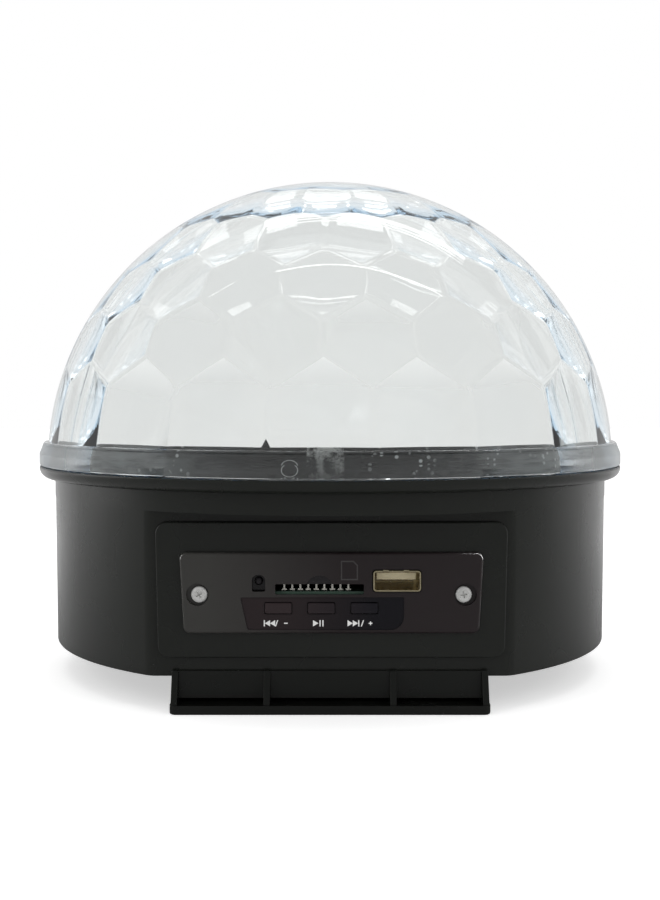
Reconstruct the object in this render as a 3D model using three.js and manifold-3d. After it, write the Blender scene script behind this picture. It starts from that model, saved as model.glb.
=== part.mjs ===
// A table-top disco light: a clear faceted dome on a round black housing that stands on a low foot.
// Six coloured lights shine up through a turning lens disc, and the faceted dome scatters their beams.
// Millimetres, +Z up. The front, with the music panel, faces -Y. The origin is under the middle of the foot.
import * as THREE from "three";
import { ConvexGeometry } from "three/addons/geometries/ConvexGeometry.js";
import { ConvexHull } from "three/addons/math/ConvexHull.js";
import { mergeVertices } from "three/addons/utils/BufferGeometryUtils.js";
import Module from "manifold-3d";

const wasm = await Module();
wasm.setup();

// Fits that every piece shares
const SEAT_GAP = 0.3;
const SLIDE_GAP = 0.3;
const CUT_OVERRUN = 1;

// Foot under the housing
const STAND_HEIGHT = 9.3;
const STAND_WIDTH = 88.8;
const STAND_APRON = 5.5;
const STAND_BACK_INSET = 32;
const STAND_PLATE = 2.6;
const STAND_WALL = 1.8;
const STAND_CORNER = 2;
const STAND_EDGE = 0.6;
const STAND_RIB_X = 17.5;
const STAND_SKIRT = 3.4;
const STAND_WALL_INSET = 0.4;
const STAND_RIB_SETBACK = 0.5;
const GUSSET_RISE = 2;
const GUSSET_THICKNESS = 1.2;
const STAND_BOSS_RADIUS = 4.6;
const STAND_BOSS_FRONT_INSET = 46;
const STAND_BOSS_BACK_INSET = 22;

// Housing
const HOUSING_HEIGHT = 56.1;
const HOUSING_RADIUS = 90;
const HOUSING_DRAFT = 0.3;
const HOUSING_WALL = 2.2;
const HOUSING_EDGE = 0.7;
const FLAT_SETBACK = 15.5;
const FLAT_CORNER = 6;
const CROWN_HEIGHT = 9.7;
const CROWN_STEP = 0.15;
const CROWN_FLOOR = 2;
const LIP_REACH = 5;
const LIP_HEIGHT = 3.8;
const LIP_ROUND = 3.4;
const LIP_TOP_ROUND = 0.5;
const DECK_REBATE = 1.7;
const REBATE_ROOM = 0.5;
const COVER_POST_RADIUS = 6.2;
const COVER_POST_INSET = 8;
const COVER_POST_HEIGHT = 24;
const COVER_POST_ANGLES = [48, 132, 222, 318];

// Raised pad and music panel on the flat front
const PAD_WIDTH = 97.8;
const PAD_TAPER = 0.7;
const PAD_HEIGHT = 37.9;
const PAD_CENTRE_Z = 34.1;
const PAD_RISE = 1.5;
const PAD_CORNER = 3.4;
const PAD_EDGE = 0.5;
const PANEL_X = 0.4;
const PLATE_WIDTH = 84.2;
const PLATE_TAPER = 1.2;
const PLATE_HEIGHT = 22.5;
const PLATE_CENTRE_Z = 33.5;
const PLATE_THICKNESS = 1.5;
const PLATE_CORNER = 2;
const PLATE_EDGE = 0.8;
const WINDOW_WIDTH = 57;
const WINDOW_HEIGHT = 17.4;
const PANEL_SCREW_SPREAD = 36.5;
const PANEL_SCREW_DROP = 0.4;
const PANEL_SCREW_SINK = 1.1;
const PANEL_WELL_SPREAD = 37;
const PANEL_WELL_RADIUS = 3.1;
const PANEL_BOSS_RADIUS = 3.4;
const PANEL_BOSS_LENGTH = 6;

// Buttons, the glossy field around them and their switches
const FIELD_SINK = 0.4;
const FIELD_LEFT = -24.8;
const FIELD_RIGHT = 20.5;
const FIELD_SLANT = 2;
const FIELD_LOW = 1;
const FIELD_HIGH = 10.1;
const FIELD_ROUND = 3.8;
const BUTTON_WIDTH = 7.4;
const BUTTON_HEIGHT = 3;
const BUTTON_PROUD = 0.5;
const BUTTON_EDGE = 0.25;
const BUTTON_SPACING = 11.9;
const BUTTON_MIDDLE_X = -2.4;
const BUTTON_DROP = 4.2;
const BUTTON_FLANGE = 0.9;
const BUTTON_FLANGE_THICKNESS = 0.8;
const SWITCH_WIDTH = 6;
const SWITCH_DEPTH = 3.6;
const SWITCH_HEIGHT = 4;
const PLUNGER_RADIUS = 1;
const PLUNGER_SHOWS = 1.1;
const PLUNGER_SUNK = 1;
const PLUNGER_ROOM = 1.2;

// Music board and its sockets
const BOARD_THICKNESS = 1.6;
const MUSIC_BOARD_WIDTH = 54;
const MUSIC_BOARD_DEPTH = 36;
const MUSIC_BOARD_TOP = 33.7;
const USB_X = 18.5;
const USB_WIDTH = 13.2;
const USB_HEIGHT = 5.8;
const USB_WALL = 0.4;
const USB_LENGTH = 17;
const USB_PROUD = 0.5;
const USB_ROUND = 0.9;
const USB_FIT = 0.5;
const TONGUE_WIDTH = 11;
const TONGUE_HEIGHT = 1.9;
const TONGUE_LENGTH = 12;
const TONGUE_RISE = 4.6;
const CARD_X = -2.9;
const CARD_WIDTH = 24.5;
const CARD_HEIGHT = 2.9;
const CARD_LOW = 33.1;
const CARD_LENGTH = 26;
const CARD_WALL = 0.35;
const NOTCH_RADIUS = 3.85;
const NOTCH_RISE = 2.4;
const CONTACT_X = -3.8;
const CONTACT_COUNT = 9;
const CONTACT_PITCH = 2.23;
const CONTACT_WIDTH = 0.9;
const CONTACT_THICKNESS = 0.4;
const CONTACT_LENGTH = 6;
const CONTACT_SETBACK = 1.4;
const CONTACT_HOOK = 1;
const RECEIVER_X = -19.7;
const RECEIVER_WIDTH = 5.4;
const RECEIVER_HEIGHT = 5.6;
const RECEIVER_DEPTH = 3;
const RECEIVER_LENS = 1.3;
const EYE_WIDTH = 3.7;
const EYE_HEIGHT = 4.7;
const EYE_LOW = 33.9;

// Dome
const DOME_STEP = 2.5;
const DOME_WALL = 3.3;
const DOME_SINK = 0.8;
const BAND_HEIGHT = 7.4;
const BAND_DRAFT = 1.1;
const BAND_FOOT_ROUND = 0.5;
const BAND_ROUND = 1;
const FACET_COLUMNS = 20;
const FACET_LATITUDES = [12.8, 25.3, 37, 48.2, 62.9];
const TOP_RING_LATITUDE = 75.6;
const FACET_TURN = -1.5;

// Collar on the deck that centres the dome's foot
const COLLAR_SETBACK = 0.9;
const COLLAR_WALL = 1.6;
const COLLAR_HEIGHT = 7.9;

// Deck with its well, lights and motor
const DECK_THICKNESS = 1.4;
const WELL_INSET = 30;
const WELL_DRAFT = 4;
const WELL_DEPTH = 17.4;
const DECK_WALL = 1.5;
const LUG_WIDTH = 12;
const LUG_DEPTH = 5;
const LUG_DROP = 9.6;
const SIDE_SCREW_DROP = 6.9;
const LED_BOARD_ROOM = 3;
const LED_COUNT = 6;
const LED_RING = 34;
const EMITTER_RADIUS = 4;
const EMITTER_BASE = 1.2;
const EMITTER_HEIGHT = 2.9;
const LENS_FOOT_RADIUS = 6;
const LENS_TOP_RADIUS = 9.2;
const LENS_HEIGHT = 8.6;
const LENS_CROWN = 1;
const LENS_ROOM = 0.7;
const LENS_RIM = 1.2;
const LENS_BEND_SHARE = 0.6;
const LENS_BEND_RISE_SHARE = 0.66;
const MOTOR_RADIUS = 17;
const MOTOR_HEIGHT = 15;
const MOTOR_EDGE = 1;
const MOTOR_EAR_REACH = 22;
const MOTOR_EAR_RADIUS = 3.6;
const MOTOR_EAR_THICKNESS = 1.2;
const MOTOR_NECK_RADIUS = 3.4;
const MOTOR_NECK_HEIGHT = 5;
const SHAFT_RADIUS = 1.5;
const SHAFT_SUNK = 6;
const SHAFT_ABOVE_DISC = 4;
const SHAFT_BORE_ROOM = 1;

// Turning lens disc
const ROTOR_ROOM = 10;
const ROTOR_THICKNESS = 1.6;
const ROTOR_LIFT = 1.4;
const ROTOR_RIM = 1.4;
const HUB_RADIUS = 5.5;
const HUB_SKIRT = 4;
const HUB_CAP = 1.4;
const OUTER_BEADS = 12;
const OUTER_BEAD_RING = 37;
const OUTER_BEAD_RADIUS = 8.4;
const INNER_BEADS = 6;
const INNER_BEAD_RING = 16.5;
const INNER_BEAD_RADIUS = 7;
const BEAD_RISE = 2.2;

// Side loudspeakers
const SPEAKER_Z = 32;
const SPEAKER_RADIUS = 18;
const SPEAKER_FLANGE = 1.2;
const SPEAKER_INSET = 8;
const SPEAKER_RING_WALL = 2;
const SPEAKER_DEPTH = 9;
const SPEAKER_NECK_RADIUS = 10;
const MAGNET_RADIUS = 12.5;
const MAGNET_HEIGHT = 6;
const CONE_RADIUS = 15.2;
const CONE_DEPTH = 4.5;
const CONE_THICKNESS = 0.8;
const CONE_CAP_RADIUS = 5;
const CONE_CAP_RISE = 2.5;
const BASKET_WALL = 1;
const GRILLE_SLOTS = 5;
const GRILLE_PITCH = 5.6;
const GRILLE_SLOT = 2.4;
const GRILLE_RADIUS = 15.4;

// Bottom cover and supply board
const COVER_THICKNESS = 2.2;
const COVER_BOSS_RADIUS = 4.2;
const COVER_BOSS_HEIGHT = 6;
const COVER_VENTS = 3;
const COVER_VENT_LENGTH = 26;
const COVER_VENT_WIDTH = 2.4;
const COVER_VENT_PITCH = 6;
const COVER_VENT_X = 46;
const SUPPLY_WIDTH = 44;
const SUPPLY_DEPTH = 26;
const SUPPLY_INSET = 28;
const SUPPLY_STANDOFF = 5;
const SUPPLY_STANDOFF_RADIUS = 2.6;
const SUPPLY_STANDOFF_INSET = 4;
const CAPACITOR_RADIUS = 5;
const CAPACITOR_HEIGHT = 12;
const CAPACITOR_EDGE = 0.7;

// Power inlet and switch on the rear wall
const REAR_SPREAD = 15;
const REAR_Z = 34;
const REAR_PAD_RISE = 0.7;
const REAR_PAD_DEPTH = 5;
const JACK_PAD = 15;
const JACK_BODY = 9.4;
const JACK_BODY_LENGTH = 13;
const JACK_NOSE_RADIUS = 4.3;
const JACK_BORE_RADIUS = 2.9;
const JACK_BORE_DEPTH = 9.5;
const JACK_PIN_RADIUS = 1;
const JACK_PIN_SETBACK = 1.4;
const JACK_SHOWS = 0.8;
const SWITCH_PAD_WIDTH = 26;
const SWITCH_PAD_HEIGHT = 19;
const ROCKER_FRAME_WIDTH = 21;
const ROCKER_FRAME_HEIGHT = 14.6;
const ROCKER_BEZEL = 1.6;
const ROCKER_BEZEL_THICKNESS = 1.8;
const ROCKER_BODY_DEPTH = 14;
const ROCKER_WALL = 1.5;
const ROCKER_FLOOR = 2;
const ROCKER_TILT = 10;
const ROCKER_PROUD = 1.6;
const ROCKER_AXLE_DROP = 3;
const ROCKER_KEEL = 3;
const ROCKER_SHOULDER_SHARE = 0.3;
const ROCKER_DIP_SHARE = 0.25;
const ROCKER_SWING_GAP = 0.9;

// Screws
const SCREW_SHANK = 1.3;
const SCREW_HOLE = 1.6;
const PANEL_HEAD_RADIUS = 2.25;
const PANEL_HEAD_HEIGHT = 1.2;
const PANEL_SHANK_LENGTH = 6;
const SIDE_HEAD_RADIUS = 2.6;
const SIDE_HEAD_HEIGHT = 1.2;
const SIDE_SHANK_LENGTH = 7;
const COVER_HEAD_RADIUS = 2.9;
const COVER_HEAD_HEIGHT = 1.6;
const COVER_SHANK_LENGTH = 10;
const STAND_SHANK_LENGTH = 12.5;
const STAND_HEAD_SINK = 2.2;
const MOTOR_SHANK_LENGTH = 2.6;
const RECESS_WIDTH_SHARE = 0.22;
const RECESS_SPAN_SHARE = 1.15;
const RECESS_DEPTH_SHARE = 0.45;
const HEAD_SHOULDER_SHARE = 0.45;
const HEAD_CROWN_SHARE = 0.6;

// Smoothness of round forms
const ROUND_SIDES = 56;
const DOME_SIDES = 60;
const DOME_STEPS = 10;
const MEDIUM_SIDES = 20;
const SMALL_SIDES = 10;
const CORNER_STEPS = 3;
const EDGE_STEPS = 2;

// Levels that the pieces share
const HOUSING_BASE = STAND_HEIGHT + SEAT_GAP;
const FLAT_FRONT = HOUSING_RADIUS - FLAT_SETBACK;
const STAND_FRONT = FLAT_FRONT + STAND_APRON;
const STAND_BACK = HOUSING_RADIUS - STAND_BACK_INSET;
const COVER_POST_RING = HOUSING_RADIUS - COVER_POST_INSET;
const SPEAKER_SEAT = HOUSING_RADIUS - SPEAKER_INSET;
const SUPPLY_Y = HOUSING_RADIUS - SUPPLY_INSET;
const LIP_TOP = HOUSING_BASE + HOUSING_HEIGHT;
const LIP_RADIUS = HOUSING_RADIUS + LIP_REACH;
const DOME_RADIUS = LIP_RADIUS - DOME_STEP;
const REBATE_RADIUS = HOUSING_RADIUS + REBATE_ROOM;
const DECK_RADIUS = REBATE_RADIUS - SEAT_GAP;
const WELL_RADIUS = HOUSING_RADIUS - WELL_INSET;
const LED_BOARD_RADIUS = WELL_RADIUS - WELL_DRAFT - LED_BOARD_ROOM;
const ROTOR_RADIUS = WELL_RADIUS - ROTOR_ROOM;
const LEDGE_Z = LIP_TOP - CROWN_HEIGHT;
const CROWN_RADIUS = HOUSING_RADIUS + CROWN_STEP;
const REBATE_Z = LIP_TOP - DECK_REBATE;
const DECK_TOP = REBATE_Z + SEAT_GAP + DECK_THICKNESS;
const WELL_FLOOR = DECK_TOP - WELL_DEPTH;
const LED_BOARD_Z = WELL_FLOOR + SEAT_GAP;
const LED_SEAT = LED_BOARD_Z + BOARD_THICKNESS + SEAT_GAP;
const LENS_TOP = LED_SEAT + LENS_HEIGHT + LENS_CROWN;
const ROTOR_Z = LENS_TOP + ROTOR_LIFT;
const MOTOR_TOP = WELL_FLOOR - DECK_WALL - SEAT_GAP;
const MOTOR_NECK_TOP = MOTOR_TOP + MOTOR_NECK_HEIGHT;
const SHAFT_TOP = ROTOR_Z + SHAFT_ABOVE_DISC;
const DOME_FOOT = LIP_TOP + SEAT_GAP;
const DOME_CENTRE = DOME_FOOT - DOME_SINK;
const COVER_TOP = HOUSING_BASE + COVER_THICKNESS;
const PAD_FACE = FLAT_FRONT + PAD_RISE;
const PLATE_BACK = PAD_FACE + SEAT_GAP;
const PLATE_FACE = PLATE_BACK + PLATE_THICKNESS;
const FIELD_FACE = PLATE_FACE - FIELD_SINK;
const PLATE_LOW = PLATE_CENTRE_Z - PLATE_HEIGHT / 2;
const BUTTON_Z = PLATE_CENTRE_Z - BUTTON_DROP;
const BUTTON_BACK = PLATE_BACK - SLIDE_GAP - BUTTON_FLANGE_THICKNESS;
const PLUNGER_FACE = BUTTON_BACK - SEAT_GAP;
const SWITCH_FACE = PLUNGER_FACE - PLUNGER_SHOWS;
const BOARD_FRONT = PLATE_BACK - SEAT_GAP;
const SIDE_SCREW_Z = LIP_TOP - SIDE_SCREW_DROP;
const REAR_FACE = HOUSING_RADIUS + REAR_PAD_RISE;

const degrees = THREE.MathUtils.degToRad;

// Solids
function tidied(geometry) {
  const bare = geometry.clone();
  bare.deleteAttribute("normal");
  bare.deleteAttribute("uv");
  return mergeVertices(bare);
}

function signedVolume(geometry) {
  const place = geometry.getAttribute("position");
  const a = new THREE.Vector3();
  const b = new THREE.Vector3();
  const c = new THREE.Vector3();
  let volume = 0;
  for (let i = 0; i < geometry.index.count; i += 3) {
    a.fromBufferAttribute(place, geometry.index.getX(i));
    b.fromBufferAttribute(place, geometry.index.getX(i + 1));
    c.fromBufferAttribute(place, geometry.index.getX(i + 2));
    volume += a.dot(b.cross(c));
  }
  return volume;
}

function facingOut(geometry) {
  const closed = tidied(geometry);
  if (signedVolume(closed) > 0) return closed;
  const order = closed.index.array;
  for (let i = 0; i < order.length; i += 3) {
    [order[i], order[i + 1]] = [order[i + 1], order[i]];
  }
  return closed;
}

function toSolid(geometry) {
  const closed = facingOut(geometry);
  const vertProperties = new Float32Array(closed.getAttribute("position").array);
  const triVerts = new Uint32Array(closed.index.array);
  return new wasm.Manifold(new wasm.Mesh({ numProp: 3, vertProperties, triVerts }));
}

function toGeometry(manifold) {
  const mesh = manifold.getMesh();
  const geometry = new THREE.BufferGeometry();
  geometry.setAttribute("position", new THREE.BufferAttribute(new Float32Array(mesh.vertProperties), 3));
  geometry.setIndex(new THREE.BufferAttribute(new Uint32Array(mesh.triVerts), 1));
  return geometry;
}

function joined(...geometries) {
  return toGeometry(geometries.map(toSolid).reduce((whole, part) => whole.add(part)));
}

function cut(geometry, ...tools) {
  return toGeometry(tools.map(toSolid).reduce((whole, tool) => whole.subtract(tool), toSolid(geometry)));
}

function common(first, second) {
  return toGeometry(toSolid(first).intersect(toSolid(second)));
}

// Basic forms, in the part's own axes
function block(xLow, xHigh, yLow, yHigh, zLow, zHigh) {
  const geometry = new THREE.BoxGeometry(xHigh - xLow, yHigh - yLow, zHigh - zLow);
  return geometry.translate((xLow + xHigh) / 2, (yLow + yHigh) / 2, (zLow + zHigh) / 2);
}

function post(radius, zLow, zHigh, sides = SMALL_SIDES) {
  const geometry = new THREE.CylinderGeometry(radius, radius, zHigh - zLow, sides);
  return geometry.rotateX(Math.PI / 2).translate(0, 0, (zLow + zHigh) / 2);
}

function turned(profile, sides) {
  return new THREE.LatheGeometry(profile, sides).rotateX(Math.PI / 2);
}

function point(x, y) {
  return new THREE.Vector2(x, y);
}

function arc(centreX, centreY, radius, from, to, steps) {
  const points = [];
  for (let i = 0; i <= steps; i += 1) {
    const angle = degrees(from + ((to - from) * i) / steps);
    points.push(point(centreX + radius * Math.cos(angle), centreY + radius * Math.sin(angle)));
  }
  return points;
}

// A closed outline whose corners are rounded, each by its own radius
function roundedOutline(corners, radii) {
  const points = [];
  corners.forEach((corner, i) => {
    const before = corners[(i + corners.length - 1) % corners.length].clone().sub(corner).normalize();
    const after = corners[(i + 1) % corners.length].clone().sub(corner).normalize();
    const half = Math.acos(before.dot(after)) / 2;
    const middle = before.clone().add(after).normalize();
    const centre = middle.multiplyScalar(radii[i] / Math.sin(half)).add(corner);
    const start = before.clone().multiplyScalar(radii[i] / Math.tan(half)).add(corner).sub(centre);
    const end = after.clone().multiplyScalar(radii[i] / Math.tan(half)).add(corner).sub(centre);
    const sweep = Math.atan2(start.cross(end), start.dot(end));
    for (let step = 0; step <= CORNER_STEPS; step += 1) {
      const spoke = start.clone().rotateAround(point(0, 0), (sweep * step) / CORNER_STEPS);
      points.push(spoke.add(centre));
    }
  });
  return points;
}

function panelOutline(topWidth, taper, lowZ, highZ, radius) {
  const top = topWidth / 2;
  const bottom = top - taper;
  const corners = [
    point(PANEL_X - bottom, lowZ),
    point(PANEL_X + bottom, lowZ),
    point(PANEL_X + top, highZ),
    point(PANEL_X - top, highZ),
  ];
  return roundedOutline(corners, corners.map(() => radius));
}

function slotOutline(centreX, lowZ, length, radius) {
  const right = arc(centreX + length / 2 - radius, lowZ + radius, radius, -90, 90, EDGE_STEPS);
  const left = arc(centreX - length / 2 + radius, lowZ + radius, radius, 90, 270, EDGE_STEPS);
  return [...right, ...left];
}

// A flat piece that is drawn in X and Z and faces the front, with its face at y = -face
function frontPlate(outline, back, face, edge = 0) {
  const geometry = new THREE.ExtrudeGeometry(new THREE.Shape(outline), {
    depth: face - back - edge,
    bevelEnabled: edge > 0,
    bevelThickness: edge,
    bevelSize: edge,
    bevelOffset: -edge,
    bevelSegments: 2,
  });
  const raised = geometry.rotateX(Math.PI / 2).translate(0, -back, 0);
  if (edge === 0) return raised;
  const reach = HOUSING_RADIUS + CUT_OVERRUN;
  return cut(raised, block(-reach, reach, -back, -back + 2 * edge + CUT_OVERRUN, -reach, reach));
}

// A flat piece that lies level between two heights
function levelPlate(outline, zLow, zHigh) {
  const options = { depth: zHigh - zLow, bevelEnabled: false };
  return new THREE.ExtrudeGeometry(new THREE.Shape(outline), options).translate(0, 0, zLow);
}

function facingFront(geometry, x, back, z) {
  return geometry.rotateX(Math.PI / 2).translate(x, -back, z);
}

function facingSide(geometry, side, distance, z) {
  return geometry.rotateY((side * Math.PI) / 2).translate(side * distance, 0, z);
}

// The frame of a fitting on the rear wall: its own +Z points out of the wall, its +Y up
function rearFrame(side) {
  const frame = new THREE.Matrix4().makeRotationZ(degrees(side * REAR_SPREAD));
  const tip = new THREE.Matrix4().makeBasis(
    new THREE.Vector3(-1, 0, 0),
    new THREE.Vector3(0, 0, 1),
    new THREE.Vector3(0, 1, 0),
  );
  return frame.multiply(tip).premultiply(new THREE.Matrix4().makeTranslation(0, 0, REAR_Z));
}

// Screws: pan head above z = 0, shank below it
function screw(headRadius, headHeight, shankLength) {
  const shoulder = headHeight * HEAD_SHOULDER_SHARE;
  const profile = [
    point(0, -shankLength),
    point(SCREW_SHANK, -shankLength),
    point(SCREW_SHANK, 0),
    point(headRadius, 0),
    point(headRadius, shoulder),
    point(headRadius * HEAD_CROWN_SHARE, headHeight),
    point(0, headHeight),
  ];
  const half = (headRadius * RECESS_WIDTH_SHARE) / 2;
  const span = (headRadius * RECESS_SPAN_SHARE) / 2;
  const floor = headHeight * (1 - RECESS_DEPTH_SHARE);
  const top = headHeight + CUT_OVERRUN;
  const slotUpright = block(-half, half, -span, span, floor, top);
  const slotAcross = block(-span, span, -half, half, floor, top);
  return cut(turned(profile, SMALL_SIDES), joined(slotUpright, slotAcross));
}

// Housing outline: a circle with a flat front and soft corners beside it
function housingOutline(radius, flat, corner) {
  const centreX = Math.sqrt((radius - corner) ** 2 - (flat - corner) ** 2);
  const lean = THREE.MathUtils.radToDeg(Math.atan2(flat - corner, centreX));
  return [
    ...arc(0, 0, radius, -lean, 180 + lean, ROUND_SIDES - 2 * CORNER_STEPS),
    ...arc(-centreX, -(flat - corner), corner, 180 + lean, 270, CORNER_STEPS).slice(1),
    ...arc(centreX, -(flat - corner), corner, 270, 360 - lean, CORNER_STEPS).slice(0, -1),
  ];
}

// A closed body through level outlines that have the same number of points
function loft(rings) {
  const places = [];
  const order = [];
  const count = rings[0].outline.length;
  for (const { outline, z } of rings) {
    for (const corner of outline) places.push(corner.x, corner.y, z);
  }
  places.push(0, 0, rings[0].z, 0, 0, rings[rings.length - 1].z);
  const bottomCentre = count * rings.length;
  const topStart = count * (rings.length - 1);
  for (let i = 0; i < count; i += 1) {
    const next = (i + 1) % count;
    for (let start = 0; start < topStart; start += count) {
      order.push(start + i, start + next, start + count + next);
      order.push(start + i, start + count + next, start + count + i);
    }
    order.push(bottomCentre, next, i);
    order.push(bottomCentre + 1, topStart + i, topStart + next);
  }
  const geometry = new THREE.BufferGeometry();
  geometry.setAttribute("position", new THREE.BufferAttribute(new Float32Array(places), 3));
  geometry.setIndex(order);
  return geometry;
}

function housingDrum() {
  const low = HOUSING_RADIUS - HOUSING_DRAFT;
  const rings = arc(0, 0, HOUSING_EDGE, -90, 0, EDGE_STEPS).map((step) => {
    const inset = HOUSING_EDGE - step.x;
    const z = HOUSING_BASE + HOUSING_EDGE + step.y;
    return { outline: housingOutline(low - inset, FLAT_FRONT - inset, FLAT_CORNER), z };
  });
  const top = housingOutline(HOUSING_RADIUS, FLAT_FRONT, FLAT_CORNER);
  rings.push({ outline: top, z: LEDGE_Z + CUT_OVERRUN });
  return loft(rings);
}

function housingCrown() {
  const lipLow = LIP_TOP - LIP_HEIGHT;
  const profile = [
    point(0, LEDGE_Z),
    point(CROWN_RADIUS, LEDGE_Z),
    point(CROWN_RADIUS, lipLow),
    ...arc(LIP_RADIUS - LIP_ROUND, lipLow + LIP_ROUND, LIP_ROUND, -90, 0, CORNER_STEPS),
    ...arc(LIP_RADIUS - LIP_TOP_ROUND, LIP_TOP - LIP_TOP_ROUND, LIP_TOP_ROUND, 0, 90, EDGE_STEPS),
    point(0, LIP_TOP),
  ];
  return turned(profile, ROUND_SIDES);
}

function housingHollow() {
  const radius = HOUSING_RADIUS - HOUSING_DRAFT - HOUSING_WALL;
  const outline = housingOutline(radius, FLAT_FRONT - HOUSING_WALL, FLAT_CORNER - HOUSING_WALL);
  const roof = LEDGE_Z + CROWN_FLOOR;
  const top = LIP_TOP + CUT_OVERRUN;
  return joined(
    loft([{ outline, z: HOUSING_BASE - CUT_OVERRUN }, { outline, z: roof + CUT_OVERRUN }]),
    post(CROWN_RADIUS - HOUSING_WALL, roof, top, ROUND_SIDES),
    post(REBATE_RADIUS, REBATE_Z, top, ROUND_SIDES),
  );
}

function coverPostPlaces() {
  return COVER_POST_ANGLES.map((angle) => ({
    x: COVER_POST_RING * Math.cos(degrees(angle)),
    y: COVER_POST_RING * Math.sin(degrees(angle)),
  }));
}

function coverPosts() {
  const low = COVER_TOP + SEAT_GAP;
  const high = low + COVER_POST_HEIGHT;
  return coverPostPlaces().map(({ x, y }) => post(COVER_POST_RADIUS, low, high).translate(x, y, 0));
}

function coverPostHoles() {
  const low = COVER_TOP + SEAT_GAP - CUT_OVERRUN;
  const high = low + COVER_SHANK_LENGTH + CUT_OVERRUN;
  return coverPostPlaces().map(({ x, y }) => post(SCREW_HOLE, low, high).translate(x, y, 0));
}

function panelScrewX(side) {
  return PANEL_X + side * PANEL_SCREW_SPREAD;
}

function panelScrewZ() {
  return PLATE_CENTRE_Z - PANEL_SCREW_DROP;
}

function panelBosses() {
  const back = FLAT_FRONT - HOUSING_WALL - PANEL_BOSS_LENGTH;
  return [-1, 1].map((side) => {
    const boss = post(PANEL_BOSS_RADIUS, 0, PANEL_BOSS_LENGTH + HOUSING_WALL / 2);
    return facingFront(boss, panelScrewX(side), back, panelScrewZ());
  });
}

function panelScrewHoles(face) {
  const back = FLAT_FRONT - HOUSING_WALL - PANEL_BOSS_LENGTH - CUT_OVERRUN;
  return [-1, 1].map((side) => {
    return facingFront(post(SCREW_HOLE, 0, face - back), panelScrewX(side), back, panelScrewZ());
  });
}

function speakerRing(side) {
  const half = SPEAKER_RING_WALL / 2;
  const outside = post(SPEAKER_RADIUS + half, 0, SPEAKER_INSET, MEDIUM_SIDES);
  const inside = post(SPEAKER_RADIUS - half, -CUT_OVERRUN, SPEAKER_INSET + CUT_OVERRUN, MEDIUM_SIDES);
  const ring = facingSide(cut(outside, inside), side, SPEAKER_SEAT, SPEAKER_Z);
  const reach = HOUSING_RADIUS - HOUSING_DRAFT - HOUSING_WALL / 2;
  return common(ring, post(reach, HOUSING_BASE, LEDGE_Z, ROUND_SIDES));
}

function grilleSlots(side) {
  const slots = [];
  const middle = (GRILLE_SLOTS - 1) / 2;
  for (let i = 0; i < GRILLE_SLOTS; i += 1) {
    const rise = (i - middle) * GRILLE_PITCH;
    const length = 2 * Math.sqrt(GRILLE_RADIUS ** 2 - rise ** 2);
    const outline = slotOutline(0, rise - GRILLE_SLOT / 2, length, GRILLE_SLOT / 2);
    const slot = levelPlate(outline, 0, HOUSING_WALL * 2 + SPEAKER_INSET).rotateZ(-Math.PI / 2);
    slots.push(facingSide(slot, side, SPEAKER_SEAT, SPEAKER_Z));
  }
  return slots;
}

function rearPads() {
  const depth = REAR_PAD_DEPTH;
  const face = REAR_FACE;
  const jack = block(-JACK_PAD / 2, JACK_PAD / 2, -JACK_PAD / 2, JACK_PAD / 2, face - depth, face);
  const width = SWITCH_PAD_WIDTH / 2;
  const height = SWITCH_PAD_HEIGHT / 2;
  const rocker = block(-width, width, -height, height, face - depth, face);
  return [jack.applyMatrix4(rearFrame(-1)), rocker.applyMatrix4(rearFrame(1))];
}

function rearCuts() {
  const low = REAR_FACE - REAR_PAD_DEPTH - HOUSING_WALL - CUT_OVERRUN;
  const high = REAR_FACE + CUT_OVERRUN;
  const shoulder = REAR_FACE - HOUSING_WALL;
  const nose = post(JACK_NOSE_RADIUS + SLIDE_GAP, low, high, SMALL_SIDES);
  const half = JACK_BODY / 2 + SLIDE_GAP;
  const room = block(-half, half, -half, half, low, shoulder);
  const width = ROCKER_FRAME_WIDTH / 2 + SLIDE_GAP;
  const height = ROCKER_FRAME_HEIGHT / 2 + SLIDE_GAP;
  const rocker = block(-width, width, -height, height, low, high);
  return [
    nose.applyMatrix4(rearFrame(-1)),
    room.applyMatrix4(rearFrame(-1)),
    rocker.applyMatrix4(rearFrame(1)),
  ];
}

function panelWindow() {
  const low = PLATE_CENTRE_Z - WINDOW_HEIGHT / 2;
  const high = PLATE_CENTRE_Z + WINDOW_HEIGHT / 2;
  const half = WINDOW_WIDTH / 2;
  const back = FLAT_FRONT - HOUSING_WALL - CUT_OVERRUN;
  return block(-half, half, -PAD_FACE - CUT_OVERRUN, -back, low, high);
}

function sideScrewHole(side) {
  const hole = post(SCREW_HOLE, -LUG_DEPTH - HOUSING_WALL, CUT_OVERRUN);
  return facingSide(hole, side, CROWN_RADIUS, SIDE_SCREW_Z);
}

function housing() {
  const padOutline = panelOutline(
    PAD_WIDTH,
    PAD_TAPER,
    PAD_CENTRE_Z - PAD_HEIGHT / 2,
    PAD_CENTRE_Z + PAD_HEIGHT / 2,
    PAD_CORNER,
  );
  const pad = frontPlate(padOutline, FLAT_FRONT - HOUSING_WALL / 2, PAD_FACE, PAD_EDGE);
  const shell = cut(joined(housingDrum(), housingCrown()), housingHollow());
  const dressed = joined(
    shell,
    pad,
    ...coverPosts(),
    ...panelBosses(),
    speakerRing(-1),
    speakerRing(1),
    ...rearPads(),
  );
  return cut(
    dressed,
    panelWindow(),
    ...panelScrewHoles(PAD_FACE + CUT_OVERRUN),
    ...coverPostHoles(),
    ...grilleSlots(-1),
    ...grilleSlots(1),
    sideScrewHole(-1),
    sideScrewHole(1),
    ...rearCuts(),
  );
}

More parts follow.
